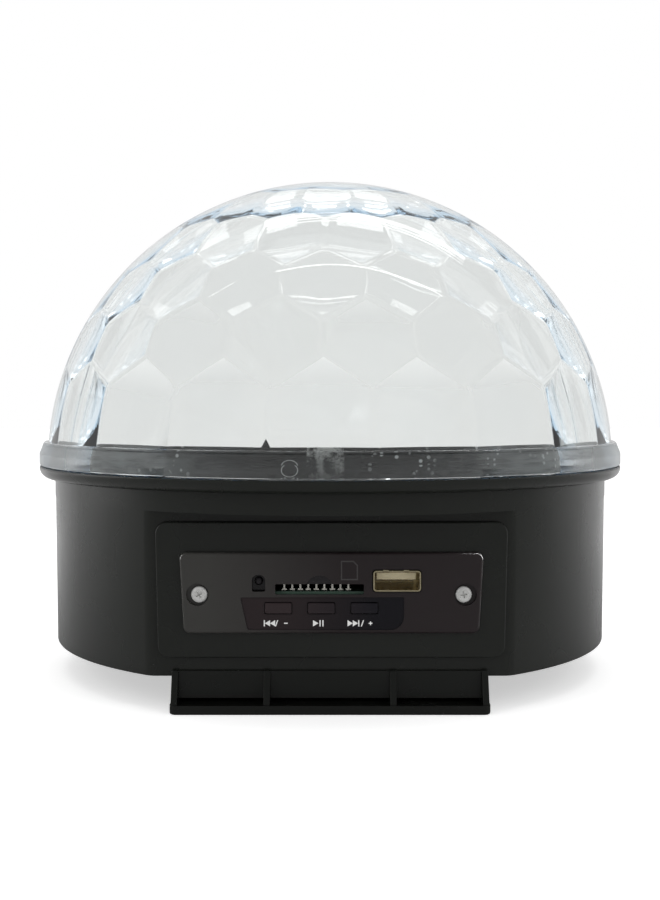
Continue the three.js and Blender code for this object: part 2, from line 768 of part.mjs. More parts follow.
// Dome: a smooth sphere outside, and inside a lattice of flat facets that are its tangent planes
function facetNormals() {
  const normals = [];
  const add = (latitude, longitude) => {
    const up = degrees(latitude);
    const round = degrees(longitude + FACET_TURN - 90);
    const reach = Math.cos(up);
    normals.push(new THREE.Vector3(reach * Math.cos(round), reach * Math.sin(round), Math.sin(up)));
  };
  const pitch = 360 / FACET_COLUMNS;
  FACET_LATITUDES.forEach((latitude, row) => {
    for (let i = 0; i < FACET_COLUMNS; i += 1) add(latitude, (i + (row % 2) / 2) * pitch);
  });
  for (let i = 0; i < FACET_COLUMNS / 2; i += 1) add(TOP_RING_LATITUDE, (2 * i + 0.5) * pitch);
  add(90, 0);
  return normals;
}

// Where the planes meet: each face of the hull round the planes' poles gives one corner
function planesToCorners(normals, distances) {
  const poles = normals.map((normal, i) => normal.clone().divideScalar(distances[i]));
  const hull = new ConvexHull().setFromPoints(poles);
  const corners = hull.faces.map(({ normal, midpoint }) => normal.clone().divideScalar(normal.dot(midpoint)));
  const kept = [];
  for (const corner of corners) {
    if (!kept.some((other) => other.distanceTo(corner) < SEAT_GAP / 10)) kept.push(corner);
  }
  return kept;
}

function domeHollow() {
  const normals = facetNormals();
  const distances = normals.map(() => DOME_RADIUS - DOME_WALL);
  normals.push(new THREE.Vector3(0, 0, -1));
  distances.push(CUT_OVERRUN);
  return new ConvexGeometry(planesToCorners(normals, distances)).translate(0, 0, DOME_CENTRE);
}

function dome() {
  const shoulder = BAND_HEIGHT + DOME_SINK;
  const neck = THREE.MathUtils.radToDeg(Math.asin(shoulder / DOME_RADIUS));
  const bandTop = DOME_FOOT + BAND_HEIGHT;
  const bandTopRadius = LIP_RADIUS - BAND_DRAFT;
  const profile = [
    point(0, DOME_FOOT),
    ...arc(LIP_RADIUS - BAND_FOOT_ROUND, DOME_FOOT + BAND_FOOT_ROUND, BAND_FOOT_ROUND, -90, 0, EDGE_STEPS),
    point(LIP_RADIUS, DOME_FOOT + BAND_HEIGHT / 2),
    ...arc(bandTopRadius - BAND_ROUND, bandTop - BAND_ROUND, BAND_ROUND, 0, 90, EDGE_STEPS),
    ...arc(0, DOME_CENTRE, DOME_RADIUS, neck, 90, DOME_STEPS).slice(0, -1),
    point(0, DOME_CENTRE + DOME_RADIUS),
  ];
  return cut(turned(profile, DOME_SIDES), domeHollow());
}

// Deck: a flange in the housing's rebate, a sunken well for the lights, and two lugs for the side screws
function ledDeck() {
  const low = WELL_FLOOR - DECK_WALL;
  const underside = DECK_TOP - DECK_THICKNESS;
  const floorRadius = WELL_RADIUS - WELL_DRAFT;
  const profile = [
    point(0, low),
    point(floorRadius + DECK_WALL, low),
    point(WELL_RADIUS + DECK_WALL, underside),
    point(DECK_RADIUS, underside),
    point(DECK_RADIUS, DECK_TOP),
    point(WELL_RADIUS, DECK_TOP),
    point(floorRadius, WELL_FLOOR),
    point(0, WELL_FLOOR),
  ];
  const reach = HOUSING_RADIUS - HOUSING_DRAFT - HOUSING_WALL - SEAT_GAP;
  const inner = reach - LUG_DEPTH;
  const half = LUG_WIDTH / 2;
  const lugs = [-1, 1].map((side) => {
    const lug = block(inner, reach, -half, half, underside - LUG_DROP, DECK_TOP - DECK_THICKNESS / 2);
    const trimmed = common(lug, post(reach, underside - LUG_DROP - CUT_OVERRUN, DECK_TOP, ROUND_SIDES));
    return side > 0 ? trimmed : trimmed.rotateZ(Math.PI);
  });
  const holeLow = low - CUT_OVERRUN;
  const holeHigh = WELL_FLOOR + CUT_OVERRUN;
  const earHoles = motorScrewPlaces().map((x) => post(SCREW_HOLE, holeLow, holeHigh).translate(x, 0, 0));
  const neckHole = post(MOTOR_NECK_RADIUS + SLIDE_GAP, holeLow, holeHigh);
  const whole = joined(turned(profile, MEDIUM_SIDES * 2), ...lugs);
  return cut(whole, neckHole, ...earHoles, sideScrewHole(-1), sideScrewHole(1));
}

function domeCollar() {
  const low = DECK_TOP + SEAT_GAP;
  const radius = HOUSING_RADIUS - COLLAR_SETBACK;
  const ring = post(radius, low, low + COLLAR_HEIGHT, DOME_SIDES);
  const room = post(radius - COLLAR_WALL, low - CUT_OVERRUN, low + COLLAR_HEIGHT + CUT_OVERRUN, DOME_SIDES);
  return cut(ring, room);
}

function ledPlaces() {
  const places = [];
  for (let i = 0; i < LED_COUNT; i += 1) {
    const angle = degrees(((i + 0.5) * 360) / LED_COUNT);
    places.push({ x: LED_RING * Math.cos(angle), y: LED_RING * Math.sin(angle) });
  }
  return places;
}

function motorScrewPlaces() {
  return [-MOTOR_EAR_REACH, MOTOR_EAR_REACH];
}

function ledBoard() {
  const top = LED_BOARD_Z + BOARD_THICKNESS;
  const disc = post(LED_BOARD_RADIUS, LED_BOARD_Z, top, MEDIUM_SIDES);
  const hole = post(MOTOR_NECK_RADIUS + SLIDE_GAP, LED_BOARD_Z - CUT_OVERRUN, top + CUT_OVERRUN);
  return cut(disc, hole);
}

function ledEmitter() {
  const dome = EMITTER_HEIGHT - EMITTER_BASE;
  const lensRadius = Math.min(dome, EMITTER_RADIUS - SEAT_GAP);
  const profile = [
    point(0, 0),
    point(EMITTER_RADIUS, 0),
    point(EMITTER_RADIUS, EMITTER_BASE),
    ...arc(0, EMITTER_BASE, lensRadius, 0, 90, CORNER_STEPS).slice(0, -1),
    point(0, EMITTER_BASE + lensRadius),
  ];
  return turned(profile, SMALL_SIDES);
}

function ledLens() {
  const roomRadius = EMITTER_RADIUS + SEAT_GAP;
  const roomHeight = EMITTER_HEIGHT + LENS_ROOM;
  const profile = [
    point(roomRadius, 0),
    point(LENS_FOOT_RADIUS, 0),
    point(LENS_TOP_RADIUS, LENS_HEIGHT - LENS_RIM),
    point(LENS_TOP_RADIUS, LENS_HEIGHT),
    point(LENS_TOP_RADIUS * LENS_BEND_SHARE, LENS_HEIGHT + LENS_CROWN * LENS_BEND_RISE_SHARE),
    point(0, LENS_HEIGHT + LENS_CROWN),
    point(0, roomHeight),
    point(roomRadius, roomHeight),
    point(roomRadius, 0),
  ];
  return turned(profile, SMALL_SIDES);
}

function motor() {
  const low = MOTOR_TOP - MOTOR_HEIGHT;
  const profile = [
    point(0, low),
    point(MOTOR_RADIUS - MOTOR_EDGE, low),
    point(MOTOR_RADIUS, low + MOTOR_EDGE),
    point(MOTOR_RADIUS, MOTOR_TOP),
    point(MOTOR_NECK_RADIUS, MOTOR_TOP),
    point(MOTOR_NECK_RADIUS, MOTOR_NECK_TOP),
    point(0, MOTOR_NECK_TOP),
  ];
  const earLow = MOTOR_TOP - MOTOR_EAR_THICKNESS;
  const ears = motorScrewPlaces().map((x) => post(MOTOR_EAR_RADIUS, earLow, MOTOR_TOP).translate(x, 0, 0));
  const reach = MOTOR_EAR_REACH;
  const strap = block(-reach, reach, -MOTOR_EAR_RADIUS, MOTOR_EAR_RADIUS, earLow, MOTOR_TOP);
  const boreLow = MOTOR_NECK_TOP - SHAFT_SUNK - SHAFT_BORE_ROOM;
  const bore = post(SHAFT_RADIUS + SLIDE_GAP, boreLow, MOTOR_NECK_TOP + CUT_OVERRUN);
  const holes = motorScrewPlaces().map((x) => {
    return post(SCREW_HOLE, earLow - CUT_OVERRUN, MOTOR_TOP + CUT_OVERRUN).translate(x, 0, 0);
  });
  return cut(joined(turned(profile, MEDIUM_SIDES), strap, ...ears), bore, ...holes);
}

function motorShaft() {
  return post(SHAFT_RADIUS, MOTOR_NECK_TOP - SHAFT_SUNK, SHAFT_TOP);
}

function bead(radius, rise) {
  const sphere = (radius ** 2 + rise ** 2) / (2 * rise);
  const half = THREE.MathUtils.radToDeg(Math.asin(radius / sphere));
  const cap = arc(0, rise - sphere, sphere, 90 - half, 90, EDGE_STEPS);
  const low = -ROTOR_THICKNESS / 2;
  const profile = [point(0, low), point(radius, low), ...cap.slice(0, -1), point(0, rise)];
  return turned(profile, SMALL_SIDES);
}

function rotorDisc() {
  const top = ROTOR_Z + ROTOR_THICKNESS;
  const hubLow = ROTOR_Z - HUB_SKIRT;
  const hubTop = SHAFT_TOP + SEAT_GAP + HUB_CAP;
  const rim = ROTOR_RADIUS - ROTOR_RIM;
  const profile = [
    point(0, hubLow),
    point(HUB_RADIUS, hubLow),
    point(HUB_RADIUS, ROTOR_Z),
    point(ROTOR_RADIUS, ROTOR_Z),
    point(ROTOR_RADIUS, top + ROTOR_RIM / 2),
    point(rim, top + ROTOR_RIM / 2),
    point(rim, top),
    point(HUB_RADIUS, top),
    point(HUB_RADIUS - ROTOR_RIM, hubTop),
    point(0, hubTop),
  ];
  const beads = [];
  const ring = (count, radius, distance, start) => {
    for (let i = 0; i < count; i += 1) {
      const angle = degrees(((i + start) * 360) / count);
      const place = { x: distance * Math.cos(angle), y: distance * Math.sin(angle) };
      beads.push(bead(radius, BEAD_RISE).translate(place.x, place.y, top));
    }
  };
  ring(OUTER_BEADS, OUTER_BEAD_RADIUS, OUTER_BEAD_RING, 0.5);
  ring(INNER_BEADS, INNER_BEAD_RADIUS, INNER_BEAD_RING, 0);
  const bore = post(SHAFT_RADIUS + SEAT_GAP / 2, hubLow - CUT_OVERRUN, SHAFT_TOP + SEAT_GAP);
  return cut(joined(turned(profile, MEDIUM_SIDES * 2), ...beads), bore);
}

// Music panel
function fieldOutline() {
  const low = PLATE_LOW + FIELD_LOW;
  const high = PLATE_LOW + FIELD_HIGH;
  const corners = [
    point(FIELD_LEFT + FIELD_SLANT, low),
    point(FIELD_RIGHT, low),
    point(FIELD_RIGHT, high),
    point(FIELD_LEFT, high),
  ];
  const sharp = FIELD_SINK;
  return roundedOutline(corners, [sharp, FIELD_ROUND, sharp, sharp]);
}

function buttonPlaces() {
  return {
    previous: BUTTON_MIDDLE_X - BUTTON_SPACING,
    play_pause: BUTTON_MIDDLE_X,
    next: BUTTON_MIDDLE_X + BUTTON_SPACING,
  };
}

function rectangle(centreX, centreZ, width, height) {
  return [
    point(centreX - width / 2, centreZ - height / 2),
    point(centreX + width / 2, centreZ - height / 2),
    point(centreX + width / 2, centreZ + height / 2),
    point(centreX - width / 2, centreZ + height / 2),
  ];
}

function usbZ() {
  return MUSIC_BOARD_TOP + SEAT_GAP + USB_HEIGHT / 2;
}

function controlPlate() {
  const high = PLATE_CENTRE_Z + PLATE_HEIGHT / 2;
  const outline = panelOutline(PLATE_WIDTH, PLATE_TAPER, PLATE_LOW, high, PLATE_CORNER);
  const plate = frontPlate(outline, PLATE_BACK, PLATE_FACE, PLATE_EDGE);
  const back = PLATE_BACK - CUT_OVERRUN;
  const face = PLATE_FACE + CUT_OVERRUN;
  const buttonHoles = Object.values(buttonPlaces()).map((x) => {
    const hole = rectangle(x, BUTTON_Z, BUTTON_WIDTH + 2 * SLIDE_GAP, BUTTON_HEIGHT + 2 * SLIDE_GAP);
    return frontPlate(hole, back, face);
  });
  const usbHole = rectangle(USB_X, usbZ(), USB_WIDTH + USB_FIT, USB_HEIGHT + USB_FIT);
  const notchCentre = CARD_LOW + CARD_HEIGHT + NOTCH_RISE - NOTCH_RADIUS;
  const notch = arc(CARD_X, notchCentre, NOTCH_RADIUS, 0, 180, CORNER_STEPS * 2);
  const eye = [
    point(RECEIVER_X - EYE_WIDTH / 2, EYE_LOW),
    point(RECEIVER_X + EYE_WIDTH / 2, EYE_LOW),
    ...arc(RECEIVER_X, EYE_LOW + EYE_HEIGHT - EYE_WIDTH / 2, EYE_WIDTH / 2, 0, 180, CORNER_STEPS),
  ];
  const wells = [-1, 1].map((side) => {
    const well = post(PANEL_WELL_RADIUS, 0, PANEL_SCREW_SINK + CUT_OVERRUN, MEDIUM_SIDES);
    const x = PANEL_X + side * PANEL_WELL_SPREAD;
    return facingFront(well, x, PLATE_FACE - PANEL_SCREW_SINK, panelScrewZ());
  });
  return cut(
    plate,
    frontPlate(fieldOutline(), FIELD_FACE, face),
    ...buttonHoles,
    frontPlate(usbHole, back, face),
    frontPlate(rectangle(CARD_X, CARD_LOW + CARD_HEIGHT / 2, CARD_WIDTH, CARD_HEIGHT), back, face),
    frontPlate(notch, back, face),
    frontPlate(eye, back, face),
    ...wells,
    ...panelScrewHoles(face),
  );
}

function button(x) {
  const rim = 2 * BUTTON_FLANGE;
  const cap = rectangle(x, BUTTON_Z, BUTTON_WIDTH, BUTTON_HEIGHT);
  const flange = rectangle(x, BUTTON_Z, BUTTON_WIDTH + rim, BUTTON_HEIGHT + rim);
  return joined(
    frontPlate(cap, BUTTON_BACK, FIELD_FACE + BUTTON_PROUD, BUTTON_EDGE),
    frontPlate(flange, BUTTON_BACK, BUTTON_BACK + BUTTON_FLANGE_THICKNESS),
  );
}

function tactPlunger(x) {
  const plunger = post(PLUNGER_RADIUS, 0, PLUNGER_SHOWS + PLUNGER_SUNK);
  return facingFront(plunger, x, SWITCH_FACE - PLUNGER_SUNK, BUTTON_Z);
}

function tactSwitch(x) {
  const top = MUSIC_BOARD_TOP - BOARD_THICKNESS - SEAT_GAP;
  const low = BUTTON_Z - SWITCH_HEIGHT / 2;
  const half = SWITCH_WIDTH / 2;
  const body = block(x - half, x + half, -SWITCH_FACE, -SWITCH_FACE + SWITCH_DEPTH, low, top);
  const room = PLUNGER_SUNK + PLUNGER_ROOM;
  const bore = post(PLUNGER_RADIUS + SLIDE_GAP, 0, room + CUT_OVERRUN);
  return cut(body, facingFront(bore, x, SWITCH_FACE - room, BUTTON_Z));
}

function musicBoard() {
  const half = MUSIC_BOARD_WIDTH / 2;
  const back = MUSIC_BOARD_DEPTH - BOARD_FRONT;
  return block(-half, half, -BOARD_FRONT, back, MUSIC_BOARD_TOP - BOARD_THICKNESS, MUSIC_BOARD_TOP);
}

function usbShell() {
  const face = PLATE_FACE + USB_PROUD;
  const low = usbZ() - USB_HEIGHT / 2;
  const high = usbZ() + USB_HEIGHT / 2;
  const tube = (inset, from, to) => {
    const corners = rectangle(USB_X, (low + high) / 2, USB_WIDTH - 2 * inset, USB_HEIGHT - 2 * inset);
    return frontPlate(roundedOutline(corners, corners.map(() => USB_ROUND - inset)), from, to);
  };
  const back = face - USB_LENGTH;
  return cut(tube(0, back, face), tube(USB_WALL, back + USB_WALL, face + CUT_OVERRUN));
}

function usbTongue() {
  const back = PLATE_FACE + USB_PROUD - USB_LENGTH + USB_WALL + SEAT_GAP;
  const low = usbZ() - USB_HEIGHT / 2 + USB_WALL + SEAT_GAP;
  const half = TONGUE_WIDTH / 2;
  const high = low + TONGUE_RISE - USB_WALL;
  const root = block(USB_X - half, USB_X + half, -back - USB_ROUND * 2, -back, low, high);
  const blade = block(USB_X - half, USB_X + half, -back - TONGUE_LENGTH, -back, high - TONGUE_HEIGHT, high);
  return joined(root, blade);
}

function cardSocket() {
  const outer = CARD_WIDTH / 2 + CARD_WALL + SEAT_GAP;
  const inner = CARD_WIDTH / 2 + SEAT_GAP;
  const low = MUSIC_BOARD_TOP + SEAT_GAP;
  const high = CARD_LOW + CARD_HEIGHT + CARD_WALL + SEAT_GAP;
  const front = -BOARD_FRONT;
  const back = front + CARD_LENGTH;
  const body = block(CARD_X - outer, CARD_X + outer, front, back, low, high);
  const roomLow = low - CUT_OVERRUN;
  const roomHigh = high - CARD_WALL;
  const roomBack = back - CARD_WALL;
  const room = block(CARD_X - inner, CARD_X + inner, front - CUT_OVERRUN, roomBack, roomLow, roomHigh);
  return cut(body, room);
}

function cardContacts() {
  const front = -BOARD_FRONT + CONTACT_SETBACK;
  const back = front + CONTACT_LENGTH;
  const top = CARD_LOW + CARD_HEIGHT;
  const under = top - CONTACT_THICKNESS;
  const half = CONTACT_WIDTH / 2;
  const span = ((CONTACT_COUNT - 1) * CONTACT_PITCH) / 2;
  const reach = span + half;
  const bar = block(CONTACT_X - reach, CONTACT_X + reach, back - CONTACT_WIDTH, back, under, top);
  const fingers = [];
  for (let i = 0; i < CONTACT_COUNT; i += 1) {
    const x = CONTACT_X - span + i * CONTACT_PITCH;
    fingers.push(block(x - half, x + half, front, back - half, under, top));
    fingers.push(block(x - half, x + half, front, front + CONTACT_THICKNESS, under - CONTACT_HOOK, top));
  }
  return joined(bar, ...fingers);
}

function irReceiver() {
  const half = RECEIVER_WIDTH / 2;
  const low = MUSIC_BOARD_TOP + SEAT_GAP;
  const high = low + RECEIVER_HEIGHT;
  const face = BOARD_FRONT;
  const body = block(RECEIVER_X - half, RECEIVER_X + half, -face, -face + RECEIVER_DEPTH, low, high);
  const profile = [
    ...arc(0, 0, RECEIVER_LENS, 0, 90, CORNER_STEPS).slice(0, -1),
    point(0, RECEIVER_LENS),
    point(0, -SEAT_GAP),
    point(RECEIVER_LENS, -SEAT_GAP),
    point(RECEIVER_LENS, 0),
  ];
  const lens = turned(profile, SMALL_SIDES);
  return joined(body, facingFront(lens, RECEIVER_X, face, (EYE_LOW + high) / 2));
}

// Loudspeakers: basket with magnet, and the cone in front of it, facing out through the side slots
function speakerBasket(side) {
  const inner = CONE_RADIUS + SEAT_GAP;
  const neckIn = SPEAKER_NECK_RADIUS - BASKET_WALL;
  const profile = [
    point(0, -SPEAKER_DEPTH - MAGNET_HEIGHT),
    point(MAGNET_RADIUS, -SPEAKER_DEPTH - MAGNET_HEIGHT),
    point(MAGNET_RADIUS, -SPEAKER_DEPTH),
    point(SPEAKER_NECK_RADIUS, -SPEAKER_DEPTH),
    point(inner + BASKET_WALL, -SPEAKER_FLANGE),
    point(SPEAKER_RADIUS, -SPEAKER_FLANGE),
    point(SPEAKER_RADIUS, 0),
    point(inner, 0),
    point(inner, -CONE_THICKNESS - SEAT_GAP),
    point(neckIn, -SPEAKER_DEPTH + BASKET_WALL),
    point(0, -SPEAKER_DEPTH + BASKET_WALL),
  ];
  return facingSide(turned(profile, MEDIUM_SIDES), side, SPEAKER_SEAT - SEAT_GAP, SPEAKER_Z);
}

function speakerCone(side) {
  const cap = CONE_CAP_RADIUS;
  const depth = CONE_DEPTH;
  const profile = [
    point(0, -depth),
    point(cap, -depth),
    point(CONE_RADIUS - CONE_THICKNESS, -CONE_THICKNESS),
    point(CONE_RADIUS, -CONE_THICKNESS),
    point(CONE_RADIUS, 0),
    point(CONE_RADIUS - CONE_THICKNESS * 2, 0),
    point(cap, CONE_THICKNESS + CONE_THICKNESS / 2 - depth),
    point(0, CONE_CAP_RISE - depth),
  ];
  return facingSide(turned(profile, MEDIUM_SIDES), side, SPEAKER_SEAT - SEAT_GAP, SPEAKER_Z);
}

// Bottom cover, with bosses for the foot's screws and standoffs for the supply board
function standBossPlaces() {
  return [STAND_BOSS_FRONT_INSET - STAND_FRONT, STAND_BACK - STAND_BOSS_BACK_INSET];
}

function supplyStandoffs() {
  const x = SUPPLY_WIDTH / 2 - SUPPLY_STANDOFF_INSET;
  const y = SUPPLY_DEPTH / 2 - SUPPLY_STANDOFF_INSET;
  const corners = [[-x, -y], [x, -y], [x, y], [-x, y]];
  return corners.map(([dx, dy]) => {
    const standoff = post(SUPPLY_STANDOFF_RADIUS, COVER_TOP - CUT_OVERRUN, COVER_TOP + SUPPLY_STANDOFF);
    return standoff.translate(dx, SUPPLY_Y + dy, 0);
  });
}

function bottomCover() {
  const gap = HOUSING_WALL + SEAT_GAP;
  const radius = HOUSING_RADIUS - HOUSING_DRAFT - gap;
  const outline = housingOutline(radius, FLAT_FRONT - gap, FLAT_CORNER - HOUSING_WALL);
  const plate = loft([{ outline, z: HOUSING_BASE }, { outline, z: COVER_TOP }]);
  const bossTop = COVER_TOP + COVER_BOSS_HEIGHT;
  const bosses = standBossPlaces().map((y) => {
    return post(COVER_BOSS_RADIUS, COVER_TOP - CUT_OVERRUN, bossTop).translate(0, y, 0);
  });
  const low = HOUSING_BASE - CUT_OVERRUN;
  const bossHoles = standBossPlaces().map((y) => {
    return post(SCREW_HOLE, low, bossTop + CUT_OVERRUN).translate(0, y, 0);
  });
  const postHoles = coverPostPlaces().map(({ x, y }) => {
    return post(SCREW_HOLE, low, COVER_TOP + CUT_OVERRUN).translate(x, y, 0);
  });
  const vents = [];
  for (const side of [-1, 1]) {
    for (let i = 0; i < COVER_VENTS; i += 1) {
      const y = (i - (COVER_VENTS - 1) / 2) * COVER_VENT_PITCH;
      const outlineOfVent = slotOutline(side * COVER_VENT_X, y, COVER_VENT_LENGTH, COVER_VENT_WIDTH / 2);
      vents.push(levelPlate(outlineOfVent, low, COVER_TOP + CUT_OVERRUN));
    }
  }
  return cut(joined(plate, ...bosses, ...supplyStandoffs()), ...bossHoles, ...postHoles, ...vents);
}

function supplyBoard() {
  const x = SUPPLY_WIDTH / 2;
  const y = SUPPLY_DEPTH / 2;
  const low = COVER_TOP + SUPPLY_STANDOFF + SEAT_GAP;
  return block(-x, x, SUPPLY_Y - y, SUPPLY_Y + y, low, low + BOARD_THICKNESS);
}

function filterCapacitor() {
  const low = COVER_TOP + SUPPLY_STANDOFF + SEAT_GAP + BOARD_THICKNESS + SEAT_GAP;
  const profile = [
    point(0, 0),
    point(CAPACITOR_RADIUS, 0),
    point(CAPACITOR_RADIUS, CAPACITOR_HEIGHT - CAPACITOR_EDGE),
    point(CAPACITOR_RADIUS - CAPACITOR_EDGE, CAPACITOR_HEIGHT),
    point(0, CAPACITOR_HEIGHT),
  ];
  return turned(profile, SMALL_SIDES).translate(-SUPPLY_WIDTH / 4, SUPPLY_Y - SEAT_GAP, low);
}

// Foot: a shallow tray that is open to the front, its walls and ribs raking out to the plate's front edge
function standPlate() {
  const plan = (inset) => {
    const half = STAND_WIDTH / 2 - inset;
    const front = inset - STAND_FRONT;
    const back = STAND_BACK - inset;
    const corners = [point(-half, front), point(half, front), point(half, back), point(-half, back)];
    return roundedOutline(corners, corners.map(() => STAND_CORNER));
  };
  const rings = arc(0, 0, STAND_EDGE, -90, 0, EDGE_STEPS).map((step) => {
    return { outline: plan(STAND_EDGE - step.x), z: STAND_EDGE + step.y };
  });
  return loft([...rings, { outline: plan(0), z: STAND_PLATE }]);
}

function standUpright(x) {
  const foot = STAND_RIB_SETBACK - STAND_FRONT;
  const face = -FLAT_FRONT - SEAT_GAP;
  const back = STAND_BACK - STAND_CORNER;
  const rise = HOUSING_BASE + GUSSET_RISE;
  const outline = [
    point(back, STAND_PLATE / 2),
    point(back, STAND_HEIGHT),
    point(face, STAND_HEIGHT),
    point(face, rise),
    point(face - GUSSET_THICKNESS, rise),
    point(foot, STAND_PLATE + STAND_EDGE),
    point(foot, STAND_PLATE / 2),
  ];
  const options = { depth: STAND_WALL, bevelEnabled: false };
  const plate = new THREE.ExtrudeGeometry(new THREE.Shape(outline), options);
  return plate.rotateX(Math.PI / 2).rotateZ(Math.PI / 2).translate(x - STAND_WALL / 2, 0, 0);
}

function stand() {
  const side = STAND_WIDTH / 2 - STAND_WALL_INSET - STAND_WALL / 2;
  const low = STAND_PLATE / 2;
  const high = STAND_HEIGHT - SEAT_GAP;
  const back = STAND_BACK - STAND_CORNER - SEAT_GAP;
  const uprights = [-side, -STAND_RIB_X, STAND_RIB_X, side].map(standUpright);
  const rearWall = block(-side, side, back - STAND_WALL, back, low, high);
  const skirt = block(-side, side, -FLAT_FRONT, STAND_WALL - FLAT_FRONT, STAND_HEIGHT - STAND_SKIRT, high);
  const bosses = standBossPlaces().map((y) => post(STAND_BOSS_RADIUS, low, STAND_HEIGHT).translate(0, y, 0));
  const screwHoles = standBossPlaces().flatMap((y) => [
    post(COVER_HEAD_RADIUS + SEAT_GAP, -CUT_OVERRUN, STAND_HEAD_SINK).translate(0, y, 0),
    post(SCREW_HOLE, -CUT_OVERRUN, STAND_HEIGHT + CUT_OVERRUN).translate(0, y, 0),
  ]);
  return cut(joined(standPlate(), ...uprights, rearWall, skirt, ...bosses), ...screwHoles);
}

// Power inlet and rocker switch, drawn in the rear wall's own frame
function dcJack() {
  const shoulder = REAR_FACE - HOUSING_WALL - SEAT_GAP;
  const half = JACK_BODY / 2;
  const top = REAR_FACE + JACK_SHOWS;
  const body = block(-half, half, -half, half, shoulder - JACK_BODY_LENGTH, shoulder);
  const nose = post(JACK_NOSE_RADIUS, shoulder - CUT_OVERRUN, top);
  return cut(joined(body, nose), post(JACK_BORE_RADIUS, top - JACK_BORE_DEPTH, top + CUT_OVERRUN));
}

function dcJackPin() {
  const top = REAR_FACE + JACK_SHOWS;
  return post(JACK_PIN_RADIUS, top - JACK_BORE_DEPTH + SEAT_GAP, top - JACK_PIN_SETBACK);
}

function rockerFrame() {
  const width = ROCKER_FRAME_WIDTH / 2;
  const height = ROCKER_FRAME_HEIGHT / 2;
  const seat = REAR_FACE + SEAT_GAP;
  const top = seat + ROCKER_BEZEL_THICKNESS;
  const body = block(-width, width, -height, height, seat - ROCKER_BODY_DEPTH, top);
  const bezelX = width + ROCKER_BEZEL;
  const bezelY = height + ROCKER_BEZEL;
  const bezel = block(-bezelX, bezelX, -bezelY, bezelY, seat, top);
  const innerX = width - ROCKER_WALL;
  const innerY = height - ROCKER_WALL;
  const floor = seat - ROCKER_BODY_DEPTH + ROCKER_FLOOR;
  const room = block(-innerX, innerX, -innerY, innerY, floor, top + CUT_OVERRUN);
  return cut(joined(body, bezel), room);
}

function rockerAxle() {
  return REAR_FACE + SEAT_GAP + ROCKER_BEZEL_THICKNESS - ROCKER_AXLE_DROP;
}

function rocker() {
  const halfX = ROCKER_FRAME_WIDTH / 2 - ROCKER_WALL - SLIDE_GAP - ROCKER_SWING_GAP;
  const halfY = ROCKER_FRAME_HEIGHT / 2 - ROCKER_WALL - SLIDE_GAP;
  const tip = ROCKER_AXLE_DROP + ROCKER_PROUD;
  const hollow = ROCKER_AXLE_DROP + ROCKER_PROUD * ROCKER_DIP_SHARE;
  const shoulder = -ROCKER_KEEL * ROCKER_SHOULDER_SHARE;
  const outline = [
    point(-halfX, shoulder),
    point(0, -ROCKER_KEEL),
    point(halfX, shoulder),
    point(halfX, tip),
    point(0, hollow),
    point(-halfX, tip),
  ];
  const options = { depth: 2 * halfY, bevelEnabled: false };
  const paddle = new THREE.ExtrudeGeometry(new THREE.Shape(outline), options);
  const upright = paddle.rotateX(Math.PI / 2).translate(0, halfY, 0);
  return upright.rotateY(-degrees(ROCKER_TILT)).translate(0, 0, rockerAxle());
}

// Finishes
const FINISHES = {
  clear: { color: 0xe9eef0, roughness: 0.05, metalness: 0, transparent: true, opacity: 0.35 },
  black: { color: 0x1d1f1e, roughness: 0.42, metalness: 0 },
  deckBlack: { color: 0x121313, roughness: 0.5, metalness: 0 },
  panel: { color: 0x2a2627, roughness: 0.35, metalness: 0.1 },
  button: { color: 0x18171a, roughness: 0.25, metalness: 0 },
  zinc: { color: 0xb9b9b4, roughness: 0.35, metalness: 1 },
  blackScrew: { color: 0x141414, roughness: 0.4, metalness: 0.6 },
  gold: { color: 0xc9bd97, roughness: 0.3, metalness: 1 },
  white: { color: 0xe6e6e2, roughness: 0.5, metalness: 0 },
  board: { color: 0x1c4a33, roughness: 0.5, metalness: 0 },
  steel: { color: 0x9a9c9e, roughness: 0.3, metalness: 1 },
  paper: { color: 0x26272a, roughness: 0.8, metalness: 0 },
};

const EMITTER_COLOURS = [0xd8453a, 0x3fae52, 0x3566cf, 0xe0b93a, 0xc95a9a, 0xf1efe4];

function mesh(name, geometry, finish) {
  const material = new THREE.MeshStandardMaterial(typeof finish === "string" ? FINISHES[finish] : finish);
  const piece = new THREE.Mesh(facingOut(geometry), material);
  piece.name = name;
  return piece;
}

function placed(piece, x, y, z, turnX = 0, turnY = 0) {
  piece.position.set(x, y, z);
  piece.rotation.set(turnX, turnY, 0);
  return piece;
}

function lightUnit() {
  const group = new THREE.Group();
  group.add(mesh("led_deck", ledDeck(), "deckBlack"));
  group.add(mesh("dome_collar", domeCollar(), "deckBlack"));
  group.add(mesh("led_board", ledBoard(), "white"));
  ledPlaces().forEach(({ x, y }, i) => {
    const finish = { color: EMITTER_COLOURS[i % EMITTER_COLOURS.length], roughness: 0.3, metalness: 0 };
    group.add(placed(mesh(`led_emitter_${i + 1}`, ledEmitter(), finish), x, y, LED_SEAT));
    group.add(placed(mesh(`led_lens_${i + 1}`, ledLens(), "clear"), x, y, LED_SEAT));
  });
  group.add(mesh("motor", motor(), "steel"));
  motorScrewPlaces().forEach((x, i) => {
    const fastener = screw(PANEL_HEAD_RADIUS, PANEL_HEAD_HEIGHT, MOTOR_SHANK_LENGTH);
    const piece = mesh(`motor_screw_${i + 1}`, fastener, "zinc");
    group.add(placed(piece, x, 0, MOTOR_TOP - MOTOR_EAR_THICKNESS - SEAT_GAP, Math.PI));
  });
  group.add(mesh("motor_shaft", motorShaft(), "steel"));
  group.add(mesh("rotor_disc", rotorDisc(), "clear"));
  return group;
}

